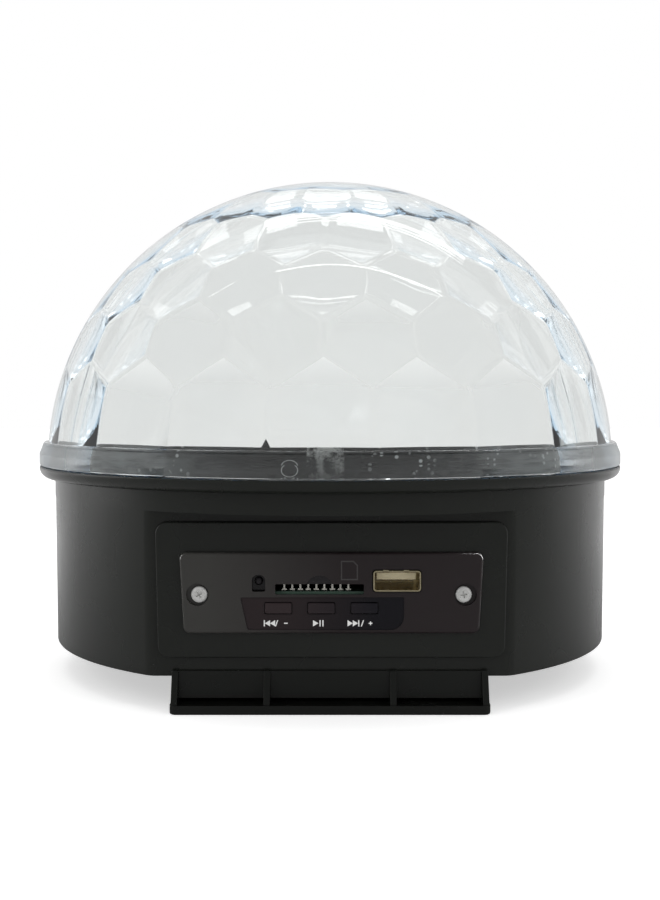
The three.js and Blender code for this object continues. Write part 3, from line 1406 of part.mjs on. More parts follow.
function musicPanel() {
  const group = new THREE.Group();
  group.add(mesh("control_plate", controlPlate(), "panel"));
  for (const [key, x] of Object.entries(buttonPlaces())) {
    group.add(mesh(`button_${key}`, button(x), "button"));
    group.add(mesh(`tact_plunger_${key}`, tactPlunger(x), "white"));
    group.add(mesh(`tact_switch_${key}`, tactSwitch(x), "button"));
  }
  group.add(mesh("control_board", musicBoard(), "board"));
  group.add(mesh("usb_shell", usbShell(), "gold"));
  group.add(mesh("usb_tongue", usbTongue(), "white"));
  group.add(mesh("card_socket", cardSocket(), "steel"));
  group.add(mesh("card_contacts", cardContacts(), "gold"));
  group.add(mesh("ir_receiver", irReceiver(), "button"));
  [["left", -1], ["right", 1]].forEach(([name, side]) => {
    const fastener = screw(PANEL_HEAD_RADIUS, PANEL_HEAD_HEIGHT, PANEL_SHANK_LENGTH);
    const piece = mesh(`panel_screw_${name}`, fastener, "zinc");
    const seat = PLATE_FACE - PANEL_SCREW_SINK + SEAT_GAP;
    group.add(placed(piece, panelScrewX(side), -seat, panelScrewZ(), Math.PI / 2));
  });
  return group;
}

function caseUnit() {
  const group = new THREE.Group();
  group.add(mesh("dome", dome(), "clear"));
  group.add(mesh("housing", housing(), "black"));
  group.add(mesh("bottom_cover", bottomCover(), "black"));
  group.add(mesh("stand", stand(), "black"));
  [["left", -1], ["right", 1]].forEach(([name, side]) => {
    const fastener = screw(SIDE_HEAD_RADIUS, SIDE_HEAD_HEIGHT, SIDE_SHANK_LENGTH);
    const piece = mesh(`side_screw_${name}`, fastener, "blackScrew");
    const x = side * (CROWN_RADIUS + SEAT_GAP);
    group.add(placed(piece, x, 0, SIDE_SCREW_Z, 0, (side * Math.PI) / 2));
  });
  coverPostPlaces().forEach(({ x, y }, i) => {
    const fastener = screw(COVER_HEAD_RADIUS, COVER_HEAD_HEIGHT, COVER_SHANK_LENGTH);
    const piece = mesh(`cover_screw_${i + 1}`, fastener, "zinc");
    group.add(placed(piece, x, y, HOUSING_BASE - SEAT_GAP, Math.PI));
  });
  [["front", 0], ["rear", 1]].forEach(([name, i]) => {
    const fastener = screw(COVER_HEAD_RADIUS, COVER_HEAD_HEIGHT, STAND_SHANK_LENGTH);
    const piece = mesh(`stand_screw_${name}`, fastener, "zinc");
    group.add(placed(piece, 0, standBossPlaces()[i], STAND_HEAD_SINK - SEAT_GAP, Math.PI));
  });
  return group;
}

function soundAndPower() {
  const group = new THREE.Group();
  [["left", -1], ["right", 1]].forEach(([name, side]) => {
    group.add(mesh(`speaker_basket_${name}`, speakerBasket(side), "steel"));
    group.add(mesh(`speaker_cone_${name}`, speakerCone(side), "paper"));
  });
  group.add(mesh("power_board", supplyBoard(), "board"));
  group.add(mesh("filter_capacitor", filterCapacitor(), "button"));
  const inlet = new THREE.Group();
  inlet.applyMatrix4(rearFrame(-1));
  inlet.add(mesh("dc_jack", dcJack(), "black"));
  inlet.add(mesh("dc_jack_pin", dcJackPin(), "gold"));
  const powerSwitch = new THREE.Group();
  powerSwitch.applyMatrix4(rearFrame(1));
  powerSwitch.add(mesh("switch_frame", rockerFrame(), "black"));
  powerSwitch.add(mesh("switch_rocker", rocker(), "button"));
  group.add(inlet, powerSwitch);
  return group;
}

const discoLight = new THREE.Group();
discoLight.add(caseUnit(), lightUnit(), musicPanel(), soundAndPower());

export default discoLight;
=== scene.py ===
# The looks of the disco light: its clear faceted dome, black housing, foot and music panel.
# Metres, +Z up. The front faces -Y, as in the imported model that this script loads.
import math

import bpy
from mathutils import Matrix, Vector

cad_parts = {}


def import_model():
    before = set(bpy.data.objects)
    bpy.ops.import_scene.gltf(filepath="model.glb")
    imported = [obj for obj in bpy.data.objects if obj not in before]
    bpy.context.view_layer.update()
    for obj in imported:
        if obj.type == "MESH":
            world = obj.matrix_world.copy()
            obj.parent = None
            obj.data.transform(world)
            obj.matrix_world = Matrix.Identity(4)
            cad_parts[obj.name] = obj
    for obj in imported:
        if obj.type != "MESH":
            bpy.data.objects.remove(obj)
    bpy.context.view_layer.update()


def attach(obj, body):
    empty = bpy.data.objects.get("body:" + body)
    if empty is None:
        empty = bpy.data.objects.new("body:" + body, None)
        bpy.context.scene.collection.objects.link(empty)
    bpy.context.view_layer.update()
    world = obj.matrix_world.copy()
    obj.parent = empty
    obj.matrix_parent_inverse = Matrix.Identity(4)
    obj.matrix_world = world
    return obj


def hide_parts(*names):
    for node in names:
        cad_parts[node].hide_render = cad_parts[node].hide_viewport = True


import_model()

MM = 0.001
HAIR = 0.02 * MM
OVERRUN = 1 * MM

# Foot and housing
STAND_TOP = 9.3 * MM
STAND_SIDE = 43.1 * MM
STAND_RIB = 17.5 * MM
# The foot's rear wall and its front skirt in three steps: depth and height of their low and high corners, in mm
STAND_STRIPS = (
    ((53.9, 1.3), (55.7, 9)), ((-74.5, 3.8), (-72.7, 9)),
    ((-75.4, 3.8), (-74.4, 9.2)), ((-75.4, 8), (-74.55, 11.4)),
)
HOUSING_LOW = 9.6 * MM
HOUSING_RADIUS = 90 * MM
HOUSING_DRAFT = 0.3 * MM
HOUSING_WALL = 2.2 * MM
HOUSING_EDGE = 0.7 * MM
FLAT_Y = -74.5 * MM
FLAT_CORNER = 6 * MM
LEDGE_Z = 56 * MM
LIP_TOP = 65.7 * MM
LIP_RADIUS = 95 * MM
LIP_HEIGHT = 3.8 * MM
LIP_ROUND = 3.3 * MM
REBATE_Z = 64 * MM
REBATE_RADIUS = 90.5 * MM

# Dome
DOME_FOOT = 66 * MM
DOME_CENTRE = 65.2 * MM
DOME_RADIUS = 92.5 * MM
DOME_WALL = 3.3 * MM
BAND_TOP = 73.4 * MM
BAND_TOP_RADIUS = 93.9 * MM
FACET_COLUMNS = 20
FACET_LATITUDES = (12.8, 25.3, 37, 48.2, 62.9)
TOP_RING_LATITUDE = 75.6
FACET_TURN = -1.5
FACET_ROUND = 1.3 * MM

# Collar inside the dome's foot, and the deck that it stands on
COLLAR_RADIUS = 89.1 * MM
COLLAR_WALL = 1.6 * MM
COLLAR_LOW = 66 * MM
COLLAR_TOP = 74.2 * MM
DECK_RADIUS = 90.2 * MM
DECK_TOP = 65.7 * MM
DECK_THICKNESS = 1.4 * MM
DECK_WALL = 1.5 * MM
WELL_RADIUS = 60 * MM
WELL_DRAFT = 4 * MM
WELL_FLOOR = 48.3 * MM
LUG_WIDTH = 12 * MM
LUG_DEPTH = 5 * MM
LUG_DROP = 9.6 * MM

# Housing fittings
CROWN_RADIUS = 90.15 * MM
CROWN_FLOOR = 2 * MM
PANEL_X = 0.4 * MM
PAD_FACE = -76 * MM
PAD_GROOVE = 0.14 * MM
PAD_GROOVE_DEPTH = 0.25 * MM
SCREW_SHANK = 1.3 * MM
SCREW_HOLE = 1.6 * MM
PANEL_SCREWS = (-36.1 * MM, 36.9 * MM)
PANEL_SCREW_Z = 33.1 * MM
SIDE_SCREW_Z = 58.8 * MM
POST_RING = 82 * MM
POST_ANGLES = (48, 132, 222, 318)
POST_LOW = 12.1 * MM
SPEAKER_Z = 32 * MM
SPEAKER_SEAT = 82 * MM
REAR_Z = 34 * MM
REAR_FACE = 90.7 * MM
REAR_SPREAD = 15

# Music panel
PLATE_BACK = -76.3 * MM
PLATE_FACE = -77.8 * MM
PLATE_LOW = 22.25 * MM
PLATE_TOP = 44.75 * MM
FIELD_FACE = -77.4 * MM
WELL_FACE = -76.7 * MM
BUTTONS = {"previous": -14.3 * MM, "play_pause": -2.4 * MM, "next": 9.5 * MM}
BUTTON_Z = 29.3 * MM
BUTTON_WIDTH = 7.4 * MM
BUTTON_HEIGHT = 3 * MM
USB_X = 18.5 * MM
USB_Z = 36.9 * MM
CARD_X = -2.9 * MM
CARD_LOW = 33.1 * MM
CARD_TOP = 36 * MM
EYE_X = -19.7 * MM
EYE_LOW = 33.9 * MM

# Smoothness
DOME_STEPS = 192
DRUM_STEPS = 180
POST_SIDES = 40
ARC_STEPS = 10

# Camera, as solved from the photograph
LENS = 51.22
SENSOR = 36
CAMERA_PLACE = (0, -0.429, 0.0878)
CAMERA_TILT = 0.042

# Studio lights
LAMP_RISE = 1
REFLECTED_FRONT = 0.17
REFLECTED_BACK = 0.7
LIGHT_FRONT = 0.7
LIGHT_BACK = 0.8
THROUGH_FRONT = 0.7
THROUGH_BACK = 0.97
FLOOR_LIFT = 0.5
FLOOR_LIFT_THROUGH = 0.22
FLOOR_PAINT = 0.86
FLOOR_IN_GLOSS = 0.22


# Modelling helpers
def mm(*values):
    """Several lengths or a place, from millimetres to metres."""
    return tuple(value * MM for value in values)


def pick_only(piece):
    bpy.ops.object.select_all(action="DESELECT")
    piece.select_set(True)
    bpy.context.view_layer.objects.active = piece


def named(name):
    piece = bpy.context.object
    piece.name = name
    piece.data.name = name
    return piece


def arc(centre_r, centre_z, radius, start, end, steps=ARC_STEPS):
    """Points of a profile round a centre, from one angle to another, in degrees."""
    points = []
    for i in range(steps + 1):
        angle = math.radians(start + (end - start) * i / steps)
        points.append((centre_r + radius * math.cos(angle), centre_z + radius * math.sin(angle)))
    return points


def opened(name):
    """The newest piece, open for editing with all of it selected."""
    piece = named(name)
    bpy.ops.object.mode_set(mode="EDIT")
    bpy.ops.mesh.select_all(action="SELECT")
    return piece


def drawn(name, places):
    """A piece that is open for editing: one corner, drawn out from place to place."""
    bpy.ops.object.select_all(action="DESELECT")
    bpy.ops.mesh.primitive_plane_add(size=MM)
    piece = opened(name)
    bpy.ops.mesh.merge(type="CENTER")
    bpy.ops.transform.translate(value=places[0])
    for before, after in zip(places, places[1:]):
        move = [end - start for start, end in zip(before, after)]
        bpy.ops.mesh.extrude_region_move(TRANSFORM_OT_translate={"value": move})
    bpy.ops.mesh.select_all(action="SELECT")
    return piece


def turned(name, profile, steps=DOME_STEPS):
    """A round piece: its profile is drawn and spun about the upright axis."""
    piece = drawn(name, [(radius, 0, z) for radius, z in profile])
    bpy.ops.mesh.spin(steps=steps, angle=math.tau, center=(0, 0, 0), axis=(0, 0, 1))
    bpy.ops.mesh.select_all(action="SELECT")
    bpy.ops.mesh.remove_doubles(threshold=HAIR / 10)
    bpy.ops.mesh.normals_make_consistent(inside=False)
    bpy.ops.object.mode_set(mode="OBJECT")
    return piece


def slab(name, outline, start, end, axis="z", edge=0, segments=3, shrink=1):
    """A flat piece: its outline is drawn, filled, and drawn out along an axis; its far edges are rounded."""
    def place(first, second, level):
        return {"x": (level, first, second), "y": (first, level, second), "z": (first, second, level)}[axis]

    piece = drawn(name, [place(*corner, start) for corner in outline])
    bpy.ops.mesh.edge_face_add()
    bpy.ops.mesh.extrude_region_move(TRANSFORM_OT_translate={"value": place(0, 0, end - start)})
    if shrink != 1:
        bpy.ops.transform.resize(value=(shrink, shrink, shrink), center_override=place(0, 0, end))
    if edge:
        bpy.ops.mesh.bevel(offset=edge, segments=segments, affect="EDGES")
    bpy.ops.mesh.select_all(action="SELECT")
    bpy.ops.mesh.normals_make_consistent(inside=False)
    bpy.ops.object.mode_set(mode="OBJECT")
    return piece


def block(name, low, high, edge=0, segments=2):
    """A cuboid between two corners, with every edge rounded."""
    bpy.ops.object.select_all(action="DESELECT")
    bpy.ops.mesh.primitive_cube_add(size=1)
    piece = opened(name)
    bpy.ops.transform.resize(value=[b - a for a, b in zip(low, high)])
    bpy.ops.transform.translate(value=[(a + b) / 2 for a, b in zip(low, high)])
    if edge:
        bpy.ops.mesh.bevel(offset=edge, segments=segments, affect="EDGES")
    bpy.ops.object.mode_set(mode="OBJECT")
    return piece


def post(name, radius, start, end, axis="z", centre=(0, 0), sides=POST_SIDES):
    """A cylinder along an axis between two levels."""
    level = (start + end) / 2
    place = {"x": (level, *centre), "y": (centre[0], level, centre[1]), "z": (*centre, level)}[axis]
    turn = {"x": (0, math.pi / 2, 0), "y": (math.pi / 2, 0, 0), "z": (0, 0, 0)}[axis]
    bpy.ops.object.select_all(action="DESELECT")
    depth = abs(end - start)
    bpy.ops.mesh.primitive_cylinder_add(vertices=sides, radius=radius, depth=depth, location=place, rotation=turn)
    piece = named(name)
    bpy.ops.object.transform_apply(location=True, rotation=True)
    return piece


def placed(piece, matrix):
    """Moves a finished shape to its place and keeps the object itself at the origin."""
    pick_only(piece)
    piece.matrix_world = matrix
    bpy.ops.object.transform_apply(location=True, rotation=True, scale=True)
    return piece


def together(*pieces):
    """One object of pieces that don't touch."""
    pick_only(pieces[0])
    for piece in pieces[1:]:
        piece.select_set(True)
    if len(pieces) > 1:
        bpy.ops.object.join()
    return bpy.context.object


def modified(piece, kind, **settings):
    pick_only(piece)
    step = piece.modifiers.new("step", kind)
    for key, value in settings.items():
        setattr(step, key, value)
    bpy.ops.object.modifier_apply(modifier=step.name)
    return piece


def combined(piece, operation, tools):
    """Joins, cuts or intersects a piece with tools that don't touch, which are used up."""
    tool = together(*tools)
    modified(piece, "BOOLEAN", operation=operation, solver="EXACT", object=tool)
    bpy.data.objects.remove(tool)
    return piece


def added(piece, *tools):
    return combined(piece, "UNION", tools)


def cut(piece, *tools):
    return combined(piece, "DIFFERENCE", tools)


def smoothed(piece, angle):
    """Smooth shading where faces meet softly. The large faces keep their own direction."""
    pick_only(piece)
    bpy.ops.object.shade_smooth_by_angle(angle=math.radians(angle))
    modified(piece, "WEIGHTED_NORMAL", mode="FACE_AREA", weight=100, keep_sharp=True)


def finished(piece, material, body, slot, *nodes, angle=30):
    """Gives a piece its shading, finish and body, and hides the nodes that it stands for."""
    if angle:
        smoothed(piece, angle)
    piece.data.materials.clear()
    piece.data.materials.append(material)
    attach(piece, body)
    if nodes:
        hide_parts(*nodes)
    return piece


# Places
def moved(x, y, z):
    return Matrix.Translation((x, y, z))


def swung(angle, axis):
    """A turn about an axis, in degrees."""
    return Matrix.Rotation(math.radians(angle), 4, axis)


def rear_frame(side):
    """The frame of a fitting on the rear wall: its own Z points out of the wall, its Y up."""
    tip = Matrix(((-1, 0, 0, 0), (0, 0, 1, 0), (0, 1, 0, 0), (0, 0, 0, 1)))
    return moved(0, 0, REAR_Z) @ swung(side * REAR_SPREAD, "Z") @ tip


# Outlines
def rounded(corners, radii, steps=6):
    """A closed outline whose corners are rounded, each by its own radius."""
    points = []
    count = len(corners)
    for i, corner in enumerate(corners):
        if radii[i] == 0:
            points.append(tuple(corner))
            continue
        middle = Vector(corner)
        before = (Vector(corners[i - 1]) - middle).normalized()
        after = (Vector(corners[(i + 1) % count]) - middle).normalized()
        half = math.acos(before.dot(after)) / 2
        centre = middle + (before + after).normalized() * (radii[i] / math.sin(half))
        start = middle + before * (radii[i] / math.tan(half)) - centre
        end = middle + after * (radii[i] / math.tan(half)) - centre
        first = math.degrees(math.atan2(start.y, start.x))
        sweep = math.degrees(math.atan2(start.x * end.y - start.y * end.x, start.dot(end)))
        points += arc(centre.x, centre.y, radii[i], first, first + sweep, steps)
    return points


def rectangle(x, z, width, height):
    return [
        (x - width / 2, z - height / 2),
        (x + width / 2, z - height / 2),
        (x + width / 2, z + height / 2),
        (x - width / 2, z + height / 2),
    ]


def rounded_rectangle(x, z, width, height, radius, steps=6):
    return rounded(rectangle(x, z, width, height), [radius] * 4, steps)


def panel_outline(width, taper, low, high, radius, grow=0):
    top = width / 2 + grow
    bottom = top - taper
    corners = [
        (PANEL_X - bottom, low - grow),
        (PANEL_X + bottom, low - grow),
        (PANEL_X + top, high + grow),
        (PANEL_X - top, high + grow),
    ]
    return rounded(corners, [radius + grow] * 4, 8)


def pad_outline(grow=0):
    return panel_outline(97.8 * MM, 0.7 * MM, 15.15 * MM, 53.05 * MM, 3.4 * MM, grow)


def housing_outline(radius, flat, corner):
    """A circle with a flat front and soft corners beside it."""
    centre_x = math.sqrt((radius - corner) ** 2 - (flat - corner) ** 2)
    lean = math.degrees(math.atan2(flat - corner, centre_x))
    points = arc(0, 0, radius, -lean, 180 + lean, DRUM_STEPS)
    points += arc(-centre_x, corner - flat, corner, 180 + lean, 270, ARC_STEPS)[1:]
    points += arc(centre_x, corner - flat, corner, 270, 360 - lean, ARC_STEPS)[:-1]
    return points


# Materials
def node(owner, kind, inputs, **settings):
    """Adds a node. Its inputs are plain values, or the outlets that feed them."""
    tree = owner.node_tree
    made = tree.nodes.new("ShaderNode" + kind)
    for key, value in settings.items():
        setattr(made, key, value)
    for key, value in inputs.items():
        if isinstance(value, bpy.types.NodeSocket):
            tree.links.new(value, made.inputs[key])
        else:
            made.inputs[key].default_value = value
    return made.outputs


def shader_of(material):
    return material.node_tree.nodes["Principled BSDF"]


def fed(material, source, socket):
    material.node_tree.links.new(source, shader_of(material).inputs[socket])


def new_material(name, **inputs):
    """A plain finish: its values are set on the shader's own sockets."""
    material = bpy.data.materials.new(name)
    material.use_nodes = True
    for key, value in inputs.items():
        shader_of(material).inputs[key.replace("_", " ")].default_value = value
    return material


def axes_of(owner, system="Object"):
    """X, Y and Z of each place, on a piece or in the world."""
    place = node(owner, "TexCoord", {})[system]
    return node(owner, "SeparateXYZ", {"Vector": place})


def noise(material, scale, detail=3, roughness=0.5, stretch=(1, 1, 1)):
    """A grain that is fixed to the piece, with its scale in cells per metre."""
    place = node(material, "TexCoord", {})["Object"]
    place = node(material, "Mapping", {"Vector": place, "Scale": stretch})["Vector"]
    inputs = {"Vector": place, "Scale": scale, "Detail": detail, "Roughness": roughness}
    return node(material, "TexNoise", inputs)["Fac"]


def ranged(owner, source, low, high, start=0.3, end=0.7, **settings):
    """Spreads a grain between two values."""
    inputs = {"Value": source, "From Min": start, "From Max": end, "To Min": low, "To Max": high}
    return node(owner, "MapRange", inputs, **settings)["Result"]


def worked(owner, operation, *values):
    """Arithmetic on outlets and plain numbers."""
    return node(owner, "Math", dict(enumerate(values)), operation=operation)["Value"]


def product(material, *factors):
    result = factors[0]
    for factor in factors[1:]:
        result = worked(material, "MULTIPLY", result, factor)
    return result


def between(material, source, low, high, soft):
    """One inside a span and nothing outside it."""
    rise = ranged(material, source, 0, 1, low - soft, low)
    return product(material, rise, ranged(material, source, 1, 0, high, high + soft))


def mixed(owner, kind, factor, first, second):
    """Goes from the first value to the second by a factor."""
    return node(owner, "Mix", {"Factor": factor, "A": first, "B": second}, data_type=kind)["Result"]


def coloured(material, source, first, second, start=0.3, end=0.7):
    """Blends two colours by a grain."""
    factor = ranged(material, source, 0, 1, start, end)
    fed(material, mixed(material, "RGBA", factor, (*first, 1), (*second, 1)), "Base Color")


def roughened(material, source, low, high):
    fed(material, ranged(material, source, low, high), "Roughness")


def bumped(material, source, depth):
    """Raises the surface by a grain, with its depth in metres."""
    bump = node(material, "Bump", {"Height": source, "Distance": depth, "Strength": 1})
    fed(material, bump["Normal"], "Normal")


def clear_finish():
    """Clear styrene: faintly blue through its thickness, in soft waves, and dulled by glue at the band's ends."""
    tint = (0.94, 0.945, 0.932, 1)
    material = new_material("clear_moulding", IOR=1.59, Transmission_Weight=1, Base_Color=tint)
    depth = node(material, "VolumeAbsorption", {"Color": (0.62, 0.84, 1, 1), "Density": 14})["Volume"]
    tree = material.node_tree
    tree.links.new(depth, tree.nodes["Material Output"].inputs["Volume"])
    bumped(material, noise(material, 55, 1, 0.4, (1, 1, 0.25)), 0.13 * MM)
    axes = axes_of(material)
    side = worked(material, "ABSOLUTE", axes["X"])
    ends = ranged(material, side, 0, 0.3, 62 * MM, 80 * MM)
    foot = ranged(material, axes["Z"], 1, 0, 72.8 * MM, 73.6 * MM)
    gloss = ranged(material, noise(material, 60), 0.01, 0.03)
    fed(material, worked(material, "ADD", product(material, ends, foot), gloss), "Roughness")
    return material


def moulded(name, colour, low=0.3, high=0.42, depth=0.0008 * MM, level=0.5):
    """Moulded plastic: a fine spark grain, and gloss that varies in patches."""
    material = new_material(name, Specular_IOR_Level=level)
    dark = tuple(part * 0.85 for part in colour)
    coloured(material, noise(material, 30), dark, colour)
    roughened(material, noise(material, 45), low, high)
    bumped(material, noise(material, 3200, 2), depth)
    return material


def plated(name, colour, low, high, metallic=1):
    """Plated metal: gloss that varies in patches, and a fine rolled grain."""
    material = new_material(name, Metallic=metallic)
    dull = tuple(part * 0.8 for part in colour)
    coloured(material, noise(material, 500), dull, colour)
    roughened(material, noise(material, 900), low, high)
    bumped(material, noise(material, 6000, 2, 0.5, (1, 4, 1)), 0.002 * MM)
    return material


def collar_finish():
    """Black, with milky smears of glue towards both sides, rows of small bubbles and one crinkled patch."""
    material = new_material("glued_collar", Specular_IOR_Level=0.3)
    axes = axes_of(material)
    across = axes["X"]
    front = ranged(material, axes["Y"], 1, 0, -0.03, -0.02)
    side = ranged(material, worked(material, "ABSOLUTE", across), 0.05, 1, 0.022, 0.068)
    streaks = noise(material, 60, 3, 0.55, (1, 1, 7))
    smears = product(material, side, ranged(material, streaks, 0.2, 1, 0.35, 0.65))
    crinkle = ranged(material, noise(material, 300, 6, 0.65), 0, 1, 0.44, 0.58)
    upper = ranged(material, axes["Z"], 0.2, 1, 67 * MM, 72 * MM)
    span = between(material, across, -5.8 * MM, 3.4 * MM, 0.4 * MM)
    patch = product(material, span, crinkle, upper, front)

    place = node(material, "TexCoord", {})["Object"]
    bubble = node(material, "TexVoronoi", {"Vector": place, "Scale": 460})["Distance"]
    dots = ranged(material, bubble, 1, 0, 0.2, 0.3)
    spread = ranged(material, noise(material, 160, 2), 0, 1, 0.45, 0.6)
    paints = [(smears, (0.4, 0.435, 0.445, 1)), (patch, (0.75, 0.77, 0.76, 1))]
    for low, high in ((-50, -40), (14, 25), (40, 72)):
        group = between(material, across, low * MM, high * MM, 6 * MM)
        paints.append((product(material, group, dots, spread, front), (0.75, 0.79, 0.8, 1)))
    colour = (0.0035, 0.0038, 0.0036, 1)
    for amount, paint in paints:
        colour = mixed(material, "RGBA", amount, colour, paint)
    fed(material, colour, "Base Color")
    roughened(material, streaks, 0.2, 0.35)
    return material


def panel_finish():
    """Glossy panel plastic with a painted reflection: lighter and neutral at its left end, darker and warmer
    towards its right.
    """
    material = new_material("panel_moulding_painted_reflection", Coat_Weight=0.3, Coat_Roughness=0.08, Specular_IOR_Level=0.4)
    # Painted reflection: the colour runs from a lighter neutral grey at the left to a darker warm tone at the
    # right.
    left, right = (0.036, 0.035, 0.032), (0.015, 0.0095, 0.0105)
    coloured(material, axes_of(material)["X"], left, right, -34 * MM, 4 * MM)
    roughened(material, noise(material, 140), 0.28, 0.36)
    bumped(material, noise(material, 3200, 2), 0.0008 * MM)
    return material


def field_finish(name, lift):
    """Gloss of the field and its buttons, with a painted reflection: warm and lighter at the left end, nearly
    black at the right.
    """
    material = new_material(name, Specular_IOR_Level=0.3)
    # Painted reflection: the colour runs from the lighter warm left end to nearly black at the right.
    warm = tuple(part * lift for part in (0.022, 0.0155, 0.0165))
    dark = tuple(part * lift for part in (0.0065, 0.006, 0.0085))
    coloured(material, axes_of(material)["X"], warm, dark, -12 * MM, 12 * MM)
    roughened(material, noise(material, 140), 0.14, 0.22)
    bumped(material, noise(material, 3200, 2), 0.0005 * MM)
    return material


# Camera at the photograph's place
def camera():
    data = bpy.data.cameras.new("camera")
    data.lens = LENS
    data.sensor_width = SENSOR
    data.clip_start = 0.01
    eye = bpy.data.objects.new("camera", data)
    bpy.context.scene.collection.objects.link(eye)
    eye.location = CAMERA_PLACE
    eye.rotation_euler = (math.pi / 2 - CAMERA_TILT, 0, 0)
    bpy.context.scene.camera = eye


def world():
    """White to the camera and through the glass, and a studio that is dim in front for reflections."""
    setting = bpy.data.worlds.new("studio")
    setting.use_nodes = True
    bpy.context.scene.world = setting
    depth = axes_of(setting, "Generated")["Y"]
    path = node(setting, "LightPath", {})

    def by_depth(front, back, start, end):
        return ranged(setting, depth, front, back, start, end, interpolation_type="SMOOTHSTEP")

    strength = by_depth(REFLECTED_FRONT, REFLECTED_BACK, -0.8, 0.5)
    light = by_depth(LIGHT_FRONT, LIGHT_BACK, -1, 1)
    through = by_depth(THROUGH_FRONT, THROUGH_BACK, -0.9, 0.2)
    for ray, value in (("Is Diffuse Ray", light), ("Is Transmission Ray", through), ("Is Camera Ray", 1)):
        strength = mixed(setting, "FLOAT", path[ray], strength, value)
    background = setting.node_tree.nodes["Background"]
    setting.node_tree.links.new(strength, background.inputs["Strength"])
    background.inputs["Color"].default_value = (1, 1, 1, 1)


def floor():
    """A pale floor that shows as white to the camera and through the glass, and keeps the shadow."""
    bpy.ops.object.select_all(action="DESELECT")
    bpy.ops.mesh.primitive_plane_add(size=6)
    piece = named("floor")
    material = new_material("floor_paint", Roughness=0.9, Emission_Color=(1, 1, 1, 1))
    path = node(material, "LightPath", {})
    in_gloss = ranged(material, axes_of(material)["Y"], FLOOR_IN_GLOSS, 1, -0.15, 0.36)
    fed(material, mixed(material, "FLOAT", path["Is Glossy Ray"], FLOOR_PAINT, in_gloss), "Base Color")
    through = worked(material, "MULTIPLY", path["Is Transmission Ray"], FLOOR_LIFT_THROUGH)
    lift = worked(material, "MULTIPLY_ADD", path["Is Camera Ray"], FLOOR_LIFT, through)
    fed(material, lift, "Emission Strength")
    piece.data.materials.append(material)


def lamp(name, place, target, width, height, power, diffuse=True, mirrored=False, through=False, only=()):
    """A softbox, with what it shows in: plain surfaces, outer gloss, and the faces inside clear parts."""
    data = bpy.data.lights.new(name, "AREA")
    data.shape = "RECTANGLE"
    data.size = width
    data.size_y = height
    data.energy = power
    piece = bpy.data.objects.new(name, data)
    bpy.context.scene.collection.objects.link(piece)
    piece.location = place
    piece.visible_diffuse = diffuse
    piece.visible_glossy = mirrored
    piece.visible_transmission = through
    aim = Vector(target) - Vector(place)
    piece.rotation_euler = aim.to_track_quat("-Z", "Y").to_euler()
    if only:
        lit = bpy.data.collections.new(name)
        for each in only:
            lit.objects.link(each)
        piece.light_linking.receiver_collection = lit


def overhead(name, x, y, width, depth, brightness, mirrored=False, through=True):
    """A lamp that hangs level over the dome, for sparkle in its facets and on its outside."""
    place = (x, y, DOME_CENTRE + LAMP_RISE)
    power = brightness * math.pi * width * depth
    lamp(name, place, (x, y, 0), width, depth, power, False, mirrored, through)


def lamps():
    lamp("top_softbox", (0, 0.24, 1.3), (0, 0.24, 0), 1.4, 0.75, 5)
    for name, x in (("left", -1.1), ("right", 1.1)):
        lamp(f"{name}_softbox", (x, -0.7, 0.7), (0, 0, 0.06), 0.5, 0.9, 3)
    # Place and depth of each strip, and its brightness
    strips = ((-0.149, 0.0125, 6), (0.337, 0.015, 2.5), (0.377, 0.015, 3), (0.437, 0.065, 2.5))
    for i, (y, depth, brightness) in enumerate(strips):
        overhead(f"strip_{i + 1}", 0.2, y, 0.95, depth, brightness, True, i < 3)
    overhead("line_low", -0.05, -0.43, 0.7, 0.015, 3)
    overhead("line_middle", 0, -0.115, 0.9, 0.008, 4)
    # Place, width and depth, and brightness of the larger lamps
    crescents = (
        (0, 0.02, 0.4, 0.12, 4), (-0.38, 0.25, 0.18, 0.3, 3), (0.34, 0.18, 0.16, 0.28, 3),
        (0, 0.68, 0.5, 0.56, 2.2), (-0.63, 0.65, 0.16, 0.44, 1.5), (0.61, 0.58, 0.16, 0.42, 1.5),
        (-1, 1.03, 0.26, 0.36, 0.8), (1.02, 0.77, 0.26, 0.36, 0.8),
    )
    for i, crescent in enumerate(crescents):
        overhead(f"crescent_{i + 1}", *crescent)


def body_lamps(shell, foot, plate):
    """Lamps that only the black body, or only the panel's rounded edges, mirror."""
    low, edge = (0, 0, 0.04), (0.04, -0.08, 0.04)
    glows = (
        ("side_glow", (-1.25, 0.1, 0.2), low, 0.7, 0.9, 2, (shell, foot, plate)),
        ("edge_top", (0.26, -0.05, 1), edge, 0.9, 0.36, 55, (plate,)),
        ("edge_left", (-0.75, 0, 0.3), edge, 0.3, 0.6, 5, (plate,)),
        ("edge_right", (0.75, 0, 0.4), edge, 0.3, 0.8, 26, (plate,)),
    )
    for *glow, lit in glows:
        lamp(*glow, diffuse=False, mirrored=True, only=lit)


# Dome: a smooth outside, and inside a lattice of flat facets with softened edges
def facet_normals():
    pitch = 360 / FACET_COLUMNS
    rows = []
    for row, latitude in enumerate(FACET_LATITUDES):
        rows += [(latitude, (i + (row % 2) / 2) * pitch) for i in range(FACET_COLUMNS)]
    rows += [(TOP_RING_LATITUDE, (2 * i + 0.5) * pitch) for i in range(FACET_COLUMNS // 2)]
    rows.append((90, 0))
    normals = []
    for latitude, longitude in rows:
        up = math.radians(latitude)
        around = math.radians(longitude + FACET_TURN - 90)
        normals.append(Vector((math.cos(up) * math.cos(around), math.cos(up) * math.sin(around), math.sin(up))))
    return normals


